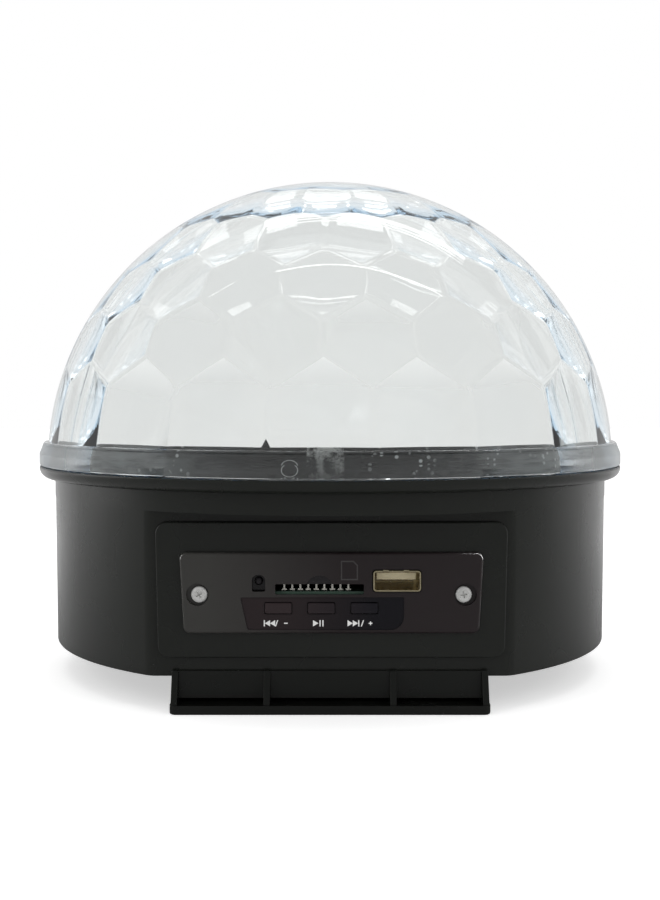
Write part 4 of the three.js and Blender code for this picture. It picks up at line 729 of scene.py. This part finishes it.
def dome_hollow():
    """A ball that is cut by one plane for each facet, and by the level of the dome's foot."""
    centre = Vector((0, 0, DOME_CENTRE))
    bpy.ops.object.select_all(action="DESELECT")
    bpy.ops.mesh.primitive_cube_add(size=3 * DOME_RADIUS, location=centre)
    piece = named("dome_hollow")
    bpy.ops.object.transform_apply(location=True)
    bpy.ops.object.mode_set(mode="EDIT")
    reach = DOME_RADIUS - DOME_WALL
    for normal in facet_normals():
        bpy.ops.mesh.select_all(action="SELECT")
        place = centre + normal * reach
        bpy.ops.mesh.bisect(plane_co=place, plane_no=normal, use_fill=True, clear_outer=True)
    bpy.ops.mesh.select_all(action="SELECT")
    foot = (0, 0, DOME_FOOT - 12 * OVERRUN)
    bpy.ops.mesh.bisect(plane_co=foot, plane_no=(0, 0, -1), use_fill=True, clear_outer=True)
    bpy.ops.mesh.select_all(action="SELECT")
    bpy.ops.mesh.remove_doubles(threshold=HAIR)
    bpy.ops.mesh.select_all(action="SELECT")
    bpy.ops.mesh.bevel(offset=FACET_ROUND, segments=4, affect="EDGES")
    bpy.ops.mesh.normals_make_consistent(inside=False)
    bpy.ops.object.mode_set(mode="OBJECT")
    return piece


def dome():
    shoulder = math.degrees(math.asin((BAND_TOP - DOME_CENTRE) / DOME_RADIUS))
    band_round = 1 * MM
    foot_round = 0.5 * MM
    profile = [(0, DOME_FOOT)]
    profile += arc(LIP_RADIUS - foot_round, DOME_FOOT + foot_round, foot_round, -90, 0, 4)
    profile += [(LIP_RADIUS, (DOME_FOOT + BAND_TOP) / 2)]
    profile += arc(BAND_TOP_RADIUS - band_round, BAND_TOP - band_round, band_round, 0, 90, 6)
    profile += arc(0, DOME_CENTRE, DOME_RADIUS, shoulder, 90, 64)
    piece = turned("clear_dome", profile)
    cut(piece, dome_hollow())
    return finished(piece, CLEAR, "base", "clear_plastic", "dome", angle=9)


# Housing: drum with a flat front, crown and lip, and the pad that carries the music panel
def housing():
    drum = housing_outline(HOUSING_RADIUS, -FLAT_Y, FLAT_CORNER)
    taper = 1 - HOUSING_DRAFT / HOUSING_RADIUS
    piece = slab("housing_shell", drum, LEDGE_Z + OVERRUN, HOUSING_LOW, "z", HOUSING_EDGE, 4, taper)
    lip_low = LIP_TOP - LIP_HEIGHT
    lip_edge = 0.5 * MM
    crown = [(0, LEDGE_Z), (CROWN_RADIUS, LEDGE_Z), (CROWN_RADIUS, lip_low)]
    crown += arc(LIP_RADIUS - LIP_ROUND, lip_low + LIP_ROUND, LIP_ROUND, -90, 0)
    crown += arc(LIP_RADIUS - lip_edge, LIP_TOP - lip_edge, lip_edge, 0, 90, 4)
    added(piece, turned("crown", crown + [(0, LIP_TOP)]))

    wall = HOUSING_WALL
    hollow = housing_outline(HOUSING_RADIUS - HOUSING_DRAFT - wall, -FLAT_Y - wall, FLAT_CORNER - wall)
    roof = LEDGE_Z + CROWN_FLOOR
    top = LIP_TOP + OVERRUN
    cut(piece, slab("hollow", hollow, HOUSING_LOW - OVERRUN, roof))
    step = [(0, roof - OVERRUN), (CROWN_RADIUS - HOUSING_WALL, roof - OVERRUN)]
    step += [(CROWN_RADIUS - HOUSING_WALL, REBATE_Z), (REBATE_RADIUS, REBATE_Z), (REBATE_RADIUS, top), (0, top)]
    cut(piece, turned("step", step))

    groove = slab("groove", pad_outline(PAD_GROOVE), FLAT_Y + PAD_GROOVE_DEPTH, FLAT_Y - OVERRUN, "y")
    cut(piece, groove)
    pad = slab("pad", pad_outline(), FLAT_Y + 1.1 * MM, PAD_FACE, "y", 0.5 * MM, 4)
    added(piece, pad)
    added(piece, housing_supports())
    cut(piece, housing_openings())
    return finished(piece, BLACK, "base", "housing_black", "housing")


def round_places(radius, angles):
    for angle in angles:
        yield radius * math.cos(math.radians(angle)), radius * math.sin(math.radians(angle))


def post_places():
    return round_places(POST_RING, POST_ANGLES)


def speaker_ring(side):
    ring = post("ring", 19 * MM, side * SPEAKER_SEAT, side * HOUSING_RADIUS, "x", (0, SPEAKER_Z), 64)
    inside = post("inside", 17 * MM, side * 81 * MM, side * 91 * MM, "x", (0, SPEAKER_Z), 64)
    cut(ring, inside)
    return combined(ring, "INTERSECT", [post("reach", 88.6 * MM, 0, LEDGE_Z, "z", (0, 0), DRUM_STEPS)])


def housing_supports():
    posts = [post("support", 6.2 * MM, POST_LOW, POST_LOW + 24 * MM, "z", place) for place in post_places()]
    boss_back = FLAT_Y + HOUSING_WALL + 6 * MM
    boss_face = FLAT_Y + HOUSING_WALL / 2
    bosses = [post("boss", 3.4 * MM, boss_back, boss_face, "y", (x, PANEL_SCREW_Z)) for x in PANEL_SCREWS]
    rings = [speaker_ring(-1), speaker_ring(1)]
    low, high = REAR_FACE - 5 * MM, REAR_FACE
    jack = rounded_rectangle(0, 0, 15 * MM, 15 * MM, 1.2 * MM)
    rocker = rounded_rectangle(0, 0, 26 * MM, 19 * MM, 1.2 * MM)
    pads = [
        placed(slab("jack_pad", jack, low, high, "z", 0.3 * MM), rear_frame(-1)),
        placed(slab("rocker_pad", rocker, low, high, "z", 0.3 * MM), rear_frame(1)),
    ]
    return together(*posts, *bosses, *rings, *pads)


def housing_openings():
    low, high = mm(24.8, 42.2)
    window = block("window", (-28.5 * MM, PAD_FACE - OVERRUN, low), (28.5 * MM, FLAT_Y + 3.2 * MM, high))
    back = FLAT_Y + HOUSING_WALL + 7 * MM
    tools = [window]
    tools += [post("hole", SCREW_HOLE, back, PAD_FACE - OVERRUN, "y", (x, PANEL_SCREW_Z)) for x in PANEL_SCREWS]
    tools += [post("hole", SCREW_HOLE, POST_LOW - OVERRUN, 22.1 * MM, "z", place) for place in post_places()]
    for side in (-1, 1):
        for i in range(5):
            rise = (i - 2) * 5.6 * MM
            length = 2 * math.sqrt((15.4 * MM) ** 2 - rise ** 2)
            slot = rounded_rectangle(0, SPEAKER_Z + rise, length, 2.4 * MM, 1.19 * MM)
            tools.append(slab("slot", slot, side * SPEAKER_SEAT, side * 95 * MM, "x"))
        inner = side * (CROWN_RADIUS - 8 * MM)
        tools.append(post("hole", SCREW_HOLE, inner, side * 92 * MM, "x", (0, SIDE_SCREW_Z)))
    low, high, shoulder = REAR_FACE - 8.2 * MM, REAR_FACE + OVERRUN, REAR_FACE - HOUSING_WALL
    nose = post("nose", 4.6 * MM, low, high)
    room = block("room", (-5 * MM, -5 * MM, low), (5 * MM, 5 * MM, shoulder))
    added(nose, room)
    rocker = block("rocker", (-10.8 * MM, -7.6 * MM, low), (10.8 * MM, 7.6 * MM, high))
    tools += [placed(nose, rear_frame(-1)), placed(rocker, rear_frame(1))]
    return together(*tools)


# Foot: a shallow tray that is open to the front, with raking walls and ribs
def stand():
    plan = rounded(rectangle(0, -11 * MM, 88.8 * MM, 138 * MM), [2 * MM] * 4)
    piece = slab("foot", plan, 2.6 * MM, 0, "z", 0.6 * MM, 4)
    foot, face, back = mm(-79.5, -74.8, 56)
    upright = [(back, 1.3 * MM), (back, STAND_TOP), (face, STAND_TOP), (face, 11.6 * MM)]
    upright += [(face - 1.2 * MM, 11.6 * MM), (foot, 3.2 * MM), (foot, 1.3 * MM)]
    walls = []
    for x in (-STAND_SIDE, -STAND_RIB, STAND_RIB, STAND_SIDE):
        wall = slab("wall", upright, x - 0.9 * MM, x + 0.9 * MM, "x")
        walls.append(modified(wall, "BEVEL", width=0.25 * MM, segments=3))
    added(piece, *walls)
    for low, high in STAND_STRIPS:
        added(piece, block("strip", (-STAND_SIDE, *mm(*low)), (STAND_SIDE, *mm(*high))))
    places = [mm(0, -34), mm(0, 36)]
    added(piece, *(post("boss", 4.6 * MM, 1.3 * MM, STAND_TOP, "z", place) for place in places))
    cut(piece, *(post("sink", 3.2 * MM, -OVERRUN, 2.2 * MM, "z", place) for place in places))
    cut(piece, *(post("hole", SCREW_HOLE, -OVERRUN, 11 * MM, "z", place) for place in places))
    # The foot gets a darker copy of the housing's black: painted shade.
    return finished(piece, SHADED_FOOT_BLACK, "base", "housing_black", "stand")


# Deck and the collar that centres the dome's foot
def deck():
    low, underside, floor_radius = WELL_FLOOR - DECK_WALL, DECK_TOP - DECK_THICKNESS, WELL_RADIUS - WELL_DRAFT
    profile = [(0, low), (floor_radius + DECK_WALL, low), (WELL_RADIUS + DECK_WALL, underside)]
    profile += [(DECK_RADIUS, underside), (DECK_RADIUS, DECK_TOP)]
    profile += arc(WELL_RADIUS + 1.5 * MM, DECK_TOP - 1.5 * MM, 1.5 * MM, 90, 170, 6)
    profile += [(floor_radius, WELL_FLOOR), (0, WELL_FLOOR)]
    piece = turned("lamp_deck", profile)
    reach = 87.2 * MM
    lug_low, lug_high = underside - LUG_DROP, DECK_TOP - DECK_THICKNESS / 2
    for side in (-1, 1):
        x0, x1 = sorted((side * (reach - LUG_DEPTH), side * reach))
        lug = block("lug", (x0, -LUG_WIDTH / 2, lug_low), (x1, LUG_WIDTH / 2, lug_high))
        added(piece, lug)
    holes = [post("hole", SCREW_HOLE, low - OVERRUN, WELL_FLOOR + OVERRUN, "z", (x * MM, 0)) for x in (-22, 22)]
    holes.append(post("neck", 3.7 * MM, low - OVERRUN, WELL_FLOOR + OVERRUN))
    holes += [post("side", SCREW_HOLE, side * 80 * MM, side * 90 * MM, "x", (0, SIDE_SCREW_Z)) for side in (-1, 1)]
    cut(piece, *holes)
    return finished(piece, DECK_BLACK, "base", "deck_black", "led_deck")


def collar():
    inner = COLLAR_RADIUS - COLLAR_WALL
    edge = 0.3 * MM
    profile = [(inner, COLLAR_LOW), (COLLAR_RADIUS, COLLAR_LOW)]
    profile += arc(COLLAR_RADIUS - edge, COLLAR_TOP - edge, edge, 0, 90, 4)
    profile += arc(inner + edge, COLLAR_TOP - edge, edge, 90, 180, 4)
    piece = turned("foot_collar", profile + [(inner, COLLAR_LOW)])
    low = COLLAR_TOP - OVERRUN
    drop = [(-19 * MM, low), (-15.2 * MM, low), (-17 * MM, COLLAR_TOP + 2.2 * MM)]
    added(piece, slab("drop", drop, -86.2 * MM, -87.1 * MM, "y"))
    finished(piece, collar_finish(), "base", "deck_black", "dome_collar")
    rim = [mm(2, -0.1), mm(2.25, -0.1), mm(2.25, 0.1), mm(2, 0.1), mm(2, -0.1)]
    around = swung(-6.75, "Z") @ moved(*mm(0, -89.25, 68.4))
    ring = placed(turned("glue_ring", rim, 48), around @ Matrix.Scale(0.8, 4, (0, 0, 1)) @ swung(90, "X"))
    return finished(ring, GLUE, "base", "clear_plastic", angle=0)


# Screws: pan heads with a cross recess
def cross_outline(x, z, half, span):
    cross = [(span, -half), (span, half), (half, half), (half, span), (-half, span), (-half, half)]
    cross += [(-span, half), (-span, -half), (-half, -half), (-half, -span), (half, -span), (half, -half)]
    return [(x + a, z + b) for a, b in cross]


def screw(name, radius, height, shank, matrix, material, slot, *nodes):
    shoulder = 0.3 * height
    profile = [(0, -shank), (SCREW_SHANK, -shank), (SCREW_SHANK, 0), (radius, 0)]
    for i in range(9):
        angle = math.radians(90 * i / 8)
        profile.append((radius * math.cos(angle) ** 0.7, shoulder + (height - shoulder) * math.sin(angle)))
    profile[-1] = (0, height)
    piece = turned(name, profile, 48)
    cross = cross_outline(0, 0, 0.12 * radius, 0.6 * radius)
    recess = slab("recess", cross, height + OVERRUN, height * 0.45, "z", 0, 3, 0.55)
    cut(piece, recess)
    placed(piece, matrix)
    return finished(piece, material, "base", slot, *nodes, angle=35)


def screws():
    for name, x, angle in zip(("left", "right"), PANEL_SCREWS, (32, 12)):
        place = moved(x, -77 * MM, PANEL_SCREW_Z) @ swung(90, "X") @ swung(angle, "Z")
        screw(f"zinc_screw_{name}", *mm(2.25, 1.2, 6), place, ZINC, "zinc_steel", f"panel_screw_{name}")
    for name, side in (("left", -1), ("right", 1)):
        place = moved(side * 90.45 * MM, 0, SIDE_SCREW_Z) @ swung(side * 90, "Y")
        screw(f"black_screw_{name}", *mm(2.6, 1.2, 7), place, SCREW_BLACK, "black_screw", f"side_screw_{name}")
    flip = swung(180, "X")
    for i, (x, y) in enumerate(post_places()):
        place = moved(x, y, HOUSING_LOW - 0.3 * MM) @ flip
        screw(f"bottom_screw_{i + 1}", *mm(2.9, 1.6, 10), place, ZINC, "zinc_steel", f"cover_screw_{i + 1}")
    for name, y in (("front", -34 * MM), ("rear", 36 * MM)):
        place = moved(0, y, 1.9 * MM) @ flip
        screw(f"foot_screw_{name}", *mm(2.9, 1.6, 12.5), place, ZINC, "zinc_steel", f"stand_screw_{name}")


# Music panel: plate with its field, holes and wells
def field_outline(inset=0):
    low, high = PLATE_LOW + 1 * MM + inset, PLATE_LOW + 10.1 * MM - inset
    left, right = -24.8 * MM + inset, 20.5 * MM - inset
    corners = [(left + 2 * MM, low), (right, low), (right, high), (left, high)]
    return rounded(corners, [0.6 * MM, 3.8 * MM - inset, 0.4 * MM, 0.4 * MM])


def button_holes(back, face):
    holes = []
    for x in BUTTONS.values():
        outline = rounded_rectangle(x, BUTTON_Z, BUTTON_WIDTH + 0.4 * MM, BUTTON_HEIGHT + 0.4 * MM, 0.5 * MM)
        holes.append(slab("hole", outline, back, face, "y"))
    return holes


def control_plate():
    outline = panel_outline(84.2 * MM, 1.2 * MM, PLATE_LOW, PLATE_TOP, 2 * MM)
    piece = slab("panel_plate", outline, PLATE_BACK, PLATE_FACE, "y", 0.8 * MM, 5)
    back, face = PLATE_BACK + OVERRUN, PLATE_FACE - OVERRUN
    cut(piece, slab("field", field_outline(), FIELD_FACE, face, "y"))
    usb = rounded_rectangle(USB_X, USB_Z, 13.7 * MM, 6.3 * MM, 1.1 * MM)
    slot = rounded_rectangle(CARD_X, (CARD_LOW + CARD_TOP) / 2, 24.5 * MM, 2.9 * MM, 0.3 * MM, 2)
    eye_top = EYE_LOW + 4.7 * MM
    eye_corners = rectangle(EYE_X, (EYE_LOW + eye_top) / 2, 3.7 * MM, 4.7 * MM)
    eye = rounded(eye_corners, [0.5 * MM, 0.5 * MM, 1.6 * MM, 1.6 * MM])
    tools = button_holes(back, face)
    tools += [slab("hole", shape, back, face, "y") for shape in (usb, slot, eye)]
    for side, x in zip((-1, 1), PANEL_SCREWS):
        well = post("well", 3.1 * MM, WELL_FACE, face, "y", (PANEL_X + side * 37 * MM, PANEL_SCREW_Z))
        hole = post("hole", SCREW_HOLE, back, WELL_FACE - 0.1 * MM, "y", (x, PANEL_SCREW_Z))
        tools.append(added(well, hole))
    cut(piece, *tools)
    notch_z = CARD_TOP + 2.4 * MM - 3.85 * MM
    notch = arc(CARD_X, notch_z, 3.85 * MM, 0, 180, 24)
    notch_floor = PLATE_FACE + 0.5 * MM
    cut(piece, slab("notch", notch, notch_floor, face, "y"))
    finished(piece, PANEL, "base", "panel_black", "control_plate")
    # A thin dark glossy sheet on the notch's recess floor: painted shade in the notch.
    shade = slab("card_notch_painted_shade", notch, notch_floor, notch_floor - 0.05 * MM, "y")
    cut(shade, slab("hole", slot, back, face, "y"))
    finished(shade, GLOSS, "base", "panel_black", angle=0)
    film = slab("panel_field", field_outline(0.06 * MM), FIELD_FACE, FIELD_FACE - 0.05 * MM, "y")
    cut(film, *button_holes(back, face))
    finished(film, FIELD, "base", "panel_black", angle=0)
    return piece


def buttons():
    for name, x in BUTTONS.items():
        cap = rounded_rectangle(x, BUTTON_Z, BUTTON_WIDTH, BUTTON_HEIGHT, 0.4 * MM)
        piece = slab(f"push_{name}", cap, -75.2 * MM, -77.9 * MM, "y", 0.28 * MM, 4)
        flange = rounded_rectangle(x, BUTTON_Z, BUTTON_WIDTH + 1.8 * MM, BUTTON_HEIGHT + 1.8 * MM, 0.5 * MM)
        added(piece, slab("flange", flange, -75.2 * MM, -76 * MM, "y"))
        finished(piece, BUTTON, f"button_{name}", "button_black", f"button_{name}")


def usb_socket():
    outer = rounded_rectangle(USB_X, USB_Z, 13.2 * MM, 5.8 * MM, 0.9 * MM)
    inner = rounded_rectangle(USB_X, USB_Z, 12.4 * MM, 5 * MM, 0.5 * MM)
    back, face = mm(-61.3, -78.3)
    piece = slab("socket_shell", outer, back, face, "y", 0.12 * MM, 2)
    cut(piece, slab("inside", inner, back - 0.4 * MM, face - OVERRUN, "y"))
    top = USB_Z + 2.9 * MM
    notches = []
    for dx in mm(-3.1, 2.6):
        x = USB_X + dx
        corner = (x + 0.75 * MM, face + 1.3 * MM, top + OVERRUN)
        notches.append(block("notch", (x - 0.75 * MM, face - OVERRUN, top - 1 * MM), corner))
    cut(piece, *notches)
    finished(piece, CHAMPAGNE, "base", "gold_plate", "usb_shell")

    low, high = mm(36.4, 38.6)
    blade = block("socket_tongue", (13 * MM, -73 * MM, low + 0.2 * MM), (24 * MM, -61 * MM, high), 0.15 * MM)
    added(blade, block("root", mm(13, -62.8, 34.7), (24 * MM, -61 * MM, high)))
    # The tongue's lightened colour is partly painted light, because the tongue lies in the socket's shade.
    finished(blade, IVORY_WITH_PAINTED_LIGHT, "base", "insulator_white", "usb_tongue")
    for i, dx in enumerate((-3.5, -1, 1, 3.5)):
        x = USB_X + dx * MM
        corner = (x + 0.5 * MM, -63 * MM, 36.7 * MM)
        strip = block(f"socket_strip_{i + 1}", (x - 0.5 * MM, -72.6 * MM, low), corner, 0.05 * MM)
        finished(strip, GOLD, "base", "gold_plate")


def card_contacts():
    front, back = mm(-74.6, -68.6)
    centre, pitch = mm(-3.8, 2.23)
    reach = 4 * pitch + 0.45 * MM
    piece = block("contact_row", (centre - reach, back - 0.9 * MM, 35.6 * MM), (centre + reach, back, 36 * MM))
    # Arm, hook and foot of one contact: half its width, its depth, its height and its rounding
    forms = (
        (0.3 * MM, front + 0.2 * MM, back - 0.5 * MM, 35.62 * MM, 35.98 * MM, 0.05 * MM),
        (0.27 * MM, front, front + 0.4 * MM, 34.1 * MM, 36 * MM, 0.08 * MM),
        (0.75 * MM, front - 0.12 * MM, front + 0.5 * MM, 33.9 * MM, 34.35 * MM, 0.12 * MM),
    )
    for i in range(9):
        x = centre + (i - 4) * pitch
        for half, near, far, low, high, edge in forms:
            added(piece, block("contact", (x - half, near, low), (x + half, far, high), edge))
    return finished(piece, PALE_GOLD, "base", "gold_plate", "card_contacts")


def receiver():
    x0, x1 = mm(-22.4, -17)
    piece = block("remote_eye", (x0, -76 * MM, 34 * MM), (x1, -73 * MM, 39.6 * MM), 0.25 * MM)
    lens = [mm(0, -0.3), mm(1.3, -0.3)] + arc(0, 0, 1.25 * MM, 0, 90, 8)
    added(piece, placed(turned("lens", lens, 40), moved(EYE_X, -76 * MM, 36.75 * MM) @ swung(90, "X")))
    return finished(piece, GLOSS, "base", "button_black", "ir_receiver")


# Marks under the buttons, printed in white, and the outline of a card over its slot
def mark(name, shapes):
    pieces = [slab(name, shape, FIELD_FACE - 0.05 * MM, FIELD_FACE - 0.07 * MM, "y") for shape in shapes]
    piece = together(*pieces)
    piece.name = name
    return finished(piece, INK, "base", "insulator_white", angle=0)


def pointer(tip, base, z, height):
    return [(tip, z), (base, z + height / 2), (base, z - height / 2)]


def slash(x, z, height):
    low, high = z - height / 2, z + height / 2
    return [(x - 0.45 * MM, low), (x - 0.15 * MM, low), (x + 0.45 * MM, high), (x + 0.15 * MM, high)]


def marks():
    z, high, slim = mm(25.1, 1.75, 0.32)
    left = [rectangle(-18.15 * MM, z, slim, high)]
    left += [pointer(x * MM, (x + 1.45) * MM, z, high) for x in (-18, -16.6)]
    left += [rectangle(-12.2 * MM, z, 1 * MM, slim), slash(-14.75 * MM, z, high)]
    middle = [pointer(-3.2 * MM, -4.7 * MM, z, high)]
    middle += [rectangle(x * MM, z, slim, high) for x in (-2.75, -1.95)]
    right = [pointer(x * MM, (x - 1.45) * MM, z, high) for x in (6.3, 7.75)]
    right += [rectangle(7.95 * MM, z, slim, high), cross_outline(11.2 * MM, z, slim / 2, 0.5 * MM)]
    right.append(slash(8.95 * MM, z, high))
    for name, shapes in (("previous", left), ("play_pause", middle), ("next", right)):
        mark(f"mark_{name}", shapes)

    corners = [mm(3, 37.1), mm(7.7, 37.1), mm(7.7, 41.3), mm(6.5, 42.5), mm(3, 42.5)]
    card = slab("mark_card", corners, PLATE_FACE, PLATE_FACE - 0.02 * MM, "y")
    centre = Vector(mm(5.35, 39.8))
    inner = [tuple(centre + (Vector(corner) - centre) * 0.86) for corner in corners]
    cut(card, slab("inside", inner, PLATE_FACE + OVERRUN, PLATE_FACE - OVERRUN, "y"))
    finished(card, FAINT_INK, "base", "panel_black", angle=0)


# Rear: power inlet and rocker switch
def power_inlet():
    shoulder, top = REAR_FACE - 2.5 * MM, REAR_FACE + 0.8 * MM
    half = 4.7 * MM
    piece = block("inlet", (-half, -half, shoulder - 13 * MM), (half, half, shoulder), 0.3 * MM)
    rim = 0.35 * MM
    nose = [(0, shoulder - OVERRUN), (4.3 * MM, shoulder - OVERRUN)]
    nose += arc(4.3 * MM - rim, top - rim, rim, 0, 90, 4)
    added(piece, turned("nose", nose + [(0, top)], 64))
    cut(piece, post("bore", 2.9 * MM, top - 9.5 * MM, top + OVERRUN))
    placed(piece, rear_frame(-1))
    finished(piece, DECK_BLACK, "base", "housing_black", "dc_jack")
    end = top - 1.4 * MM
    profile = [(0, top - 9.2 * MM), (1 * MM, top - 9.2 * MM)] + arc(0.4 * MM, end - 0.6 * MM, 0.6 * MM, 0, 90, 5)
    pin = placed(turned("inlet_pin", profile + [(0, end)], 40), rear_frame(-1))
    finished(pin, GOLD, "base", "gold_plate", "dc_jack_pin")


def power_switch():
    seat = REAR_FACE + 0.3 * MM
    top = seat + 1.8 * MM
    width, height, bezel = mm(10.5, 7.3, 1.6)
    piece = block("rocker_body", (-width, -height, seat - 14 * MM), (width, height, top - 0.5 * MM))
    outline = rounded_rectangle(0, 0, 2 * (width + bezel), 2 * (height + bezel), 1.2 * MM)
    added(piece, slab("bezel", outline, seat, top, "z", 0.5 * MM, 4))
    room = block("room", (-9 * MM, -5.8 * MM, seat - 12 * MM), (9 * MM, 5.8 * MM, top + OVERRUN))
    cut(piece, room)
    placed(piece, rear_frame(1))
    finished(piece, DECK_BLACK, "base", "housing_black", "switch_frame")

    half_x, half_y, drop, keel = mm(7.8, 5.5, 3, 3)
    tip, dip = drop + 1.6 * MM, drop + 0.4 * MM
    shape = [(-half_x, -0.9 * MM), (0, -keel), (half_x, -0.9 * MM), (half_x, tip)]
    for i in range(1, 12):
        x = half_x - 2 * half_x * i / 12
        shape.append((x, dip + (tip - dip) * (x / half_x) ** 2))
    shape.append((-half_x, tip))
    paddle = slab("rocker_paddle", shape, -half_y, half_y, "y")
    modified(paddle, "BEVEL", width=0.3 * MM, segments=3, angle_limit=math.radians(40))
    axle = moved(0, 0, REAR_FACE + 2.1 * MM - drop)
    placed(paddle, rear_frame(1) @ axle @ swung(-10, "Y"))
    finished(paddle, GLOSS, "power_rocker", "button_black", "switch_rocker")


# Lamps under the dome, and the clear disc that turns over them
def light_unit():
    seat, lens = mm(50.5, 1.7)
    rim = 1.2 * MM
    profile = [(0, 0), mm(4, 0), mm(4, 1.1), (3.9 * MM, rim)]
    profile += arc(0, rim, lens, 0, 90, 5)[:-1]
    for i, (x, y) in enumerate(round_places(34 * MM, range(30, 360, 60))):
        piece = turned(f"lamp_{i + 1}", profile + [(0, rim + lens)], 40)
        placed(piece, moved(x, y, seat))
        colour, paint = LAMP_COLOURS[i]
        material = moulded(f"lamp_{colour}", paint, 0.15, 0.25, 0.001 * MM)
        finished(piece, material, "base", f"emitter_{colour}", f"led_emitter_{i + 1}")


def bead(x, y, radius, rise, level):
    sphere = (radius ** 2 + rise ** 2) / (2 * rise)
    half = math.degrees(math.asin(radius / sphere))
    profile = [mm(0, -0.8), (radius, -0.8 * MM)] + arc(0, rise - sphere, sphere, 90 - half, 90, 8)
    return placed(turned("bead", profile, 40), moved(x, y, level))


def rotor():
    low, top, rim, hub = mm(61.5, 63.1, 48.6, 5.5)
    profile = [mm(0, 57.5), (hub, 57.5 * MM), (hub, low), (50 * MM, low), mm(50, 63.8)]
    profile += [(rim, 63.8 * MM), (rim, top), (hub, top), mm(4.1, 67.2), mm(0, 67.2)]
    piece = turned("turning_disc", profile, 128)
    for radius, distance, angles in ((8.4, 37, range(15, 375, 30)), (7, 16.5, range(0, 360, 60))):
        for place in round_places(distance * MM, angles):
            added(piece, bead(*place, radius * MM, 2.2 * MM, top))
    cut(piece, post("bore", 1.65 * MM, 56 * MM, 65.8 * MM))
    return finished(piece, CLEAR, "rotor", "clear_plastic", "rotor_disc")


# Everything in turn
def cad_finishes():
    """Finishes of the nodes that keep their own shape."""
    for name, material in KEPT.items():
        for place in bpy.data.objects[name].material_slots:
            place.material = material


CLEAR = clear_finish()
BLACK = moulded("black_moulding", (0.0112, 0.0127, 0.0104), 0.24, 0.3)
# The housing's black, darkened for the foot: painted shade on the foot and its ribs, which sit under the housing.
SHADED_FOOT_BLACK = moulded("foot_moulding_painted_shade", (0.0078, 0.0088, 0.0074), 0.26, 0.32, 0.0008 * MM, 0.4)
DECK_BLACK = moulded("deck_moulding", (0.004, 0.004, 0.0042), 0.3, 0.4, 0.0004 * MM)
PANEL = panel_finish()
FIELD = field_finish("field_gloss", 1)
GLOSS = moulded("gloss_black", (0.012, 0.0105, 0.012), 0.12, 0.18, 0.0005 * MM)
BUTTON = field_finish("button_moulding", 1.35)
INK = moulded("white_ink", (0.85, 0.85, 0.84), 0.4, 0.5, 0.001 * MM)
FAINT_INK = moulded("grey_ink", (0.05, 0.046, 0.046), 0.4, 0.5, 0.001 * MM)
# Ivory insulator made lighter than its own tone: partly its own colour and partly painted light on the tongue,
# which lies in the socket's shade.
IVORY_WITH_PAINTED_LIGHT = moulded("ivory_plastic_painted_light", (0.95, 0.85, 0.58), 0.3, 0.4, 0.002 * MM)
WHITE = moulded("white_plastic", (0.75, 0.75, 0.73), 0.4, 0.5)
SCREW_BLACK = moulded("black_oxide", (0.006, 0.006, 0.006), 0.45, 0.6, 0.001 * MM, 0.2)
ZINC = plated("zinc_plate", (0.92, 0.92, 0.9), 0.25, 0.4, 0.6)
STEEL = plated("steel_sheet", (0.55, 0.55, 0.56), 0.28, 0.4)
GLUE = moulded("dry_glue", (0.85, 0.87, 0.87), 0.3, 0.5, 0.005 * MM)
DULL_STEEL = plated("dull_steel", (0.1, 0.1, 0.1), 0.4, 0.5)
GOLD = plated("gold_plate", (0.86, 0.72, 0.42), 0.18, 0.3)
PALE_GOLD = plated("pale_gold_plate", (0.98, 0.95, 0.87), 0.2, 0.32, 0.35)
CHAMPAGNE = plated("champagne_plate", (0.9, 0.79, 0.52), 0.16, 0.28)
BOARD = moulded("green_board", (0.05, 0.095, 0.07), 0.35, 0.5)
PAPER = moulded("speaker_paper", (0.02, 0.02, 0.022), 0.7, 0.85, 0.05 * MM)
LAMP_COLOURS = (
    ("red", (0.7, 0.06, 0.04)), ("green", (0.05, 0.5, 0.1)), ("blue", (0.04, 0.12, 0.65)),
    ("amber", (0.75, 0.45, 0.05)), ("pink", (0.6, 0.1, 0.35)), ("white", (0.85, 0.85, 0.78)),
)
KEPT = {
    "bottom_cover": BLACK, "led_board": WHITE, "motor": STEEL, "motor_shaft": STEEL, "motor_screw_1": ZINC,
    "motor_screw_2": ZINC, "card_socket": DULL_STEEL, "control_board": BOARD, "power_board": BOARD,
    "filter_capacitor": GLOSS,
}
for side in ("left", "right"):
    KEPT.update({f"speaker_basket_{side}": STEEL, f"speaker_cone_{side}": PAPER})
for button in BUTTONS:
    KEPT.update({f"tact_switch_{button}": GLOSS, f"tact_plunger_{button}": WHITE})
KEPT.update({f"led_lens_{i + 1}": CLEAR for i in range(6)})

camera()
world()
floor()
lamps()
cad_finishes()
dome()
collar()
deck()
body_lamps(housing(), stand(), control_plate())
screws()
buttons()
usb_socket()
card_contacts()
receiver()
marks()
power_inlet()
power_switch()
light_unit()
rotor()

scene = bpy.context.scene
scene.view_settings.view_transform = "Standard"
scene.cycles.max_bounces = 48
scene.cycles.transmission_bounces = 32
scene.cycles.glossy_bounces = 32
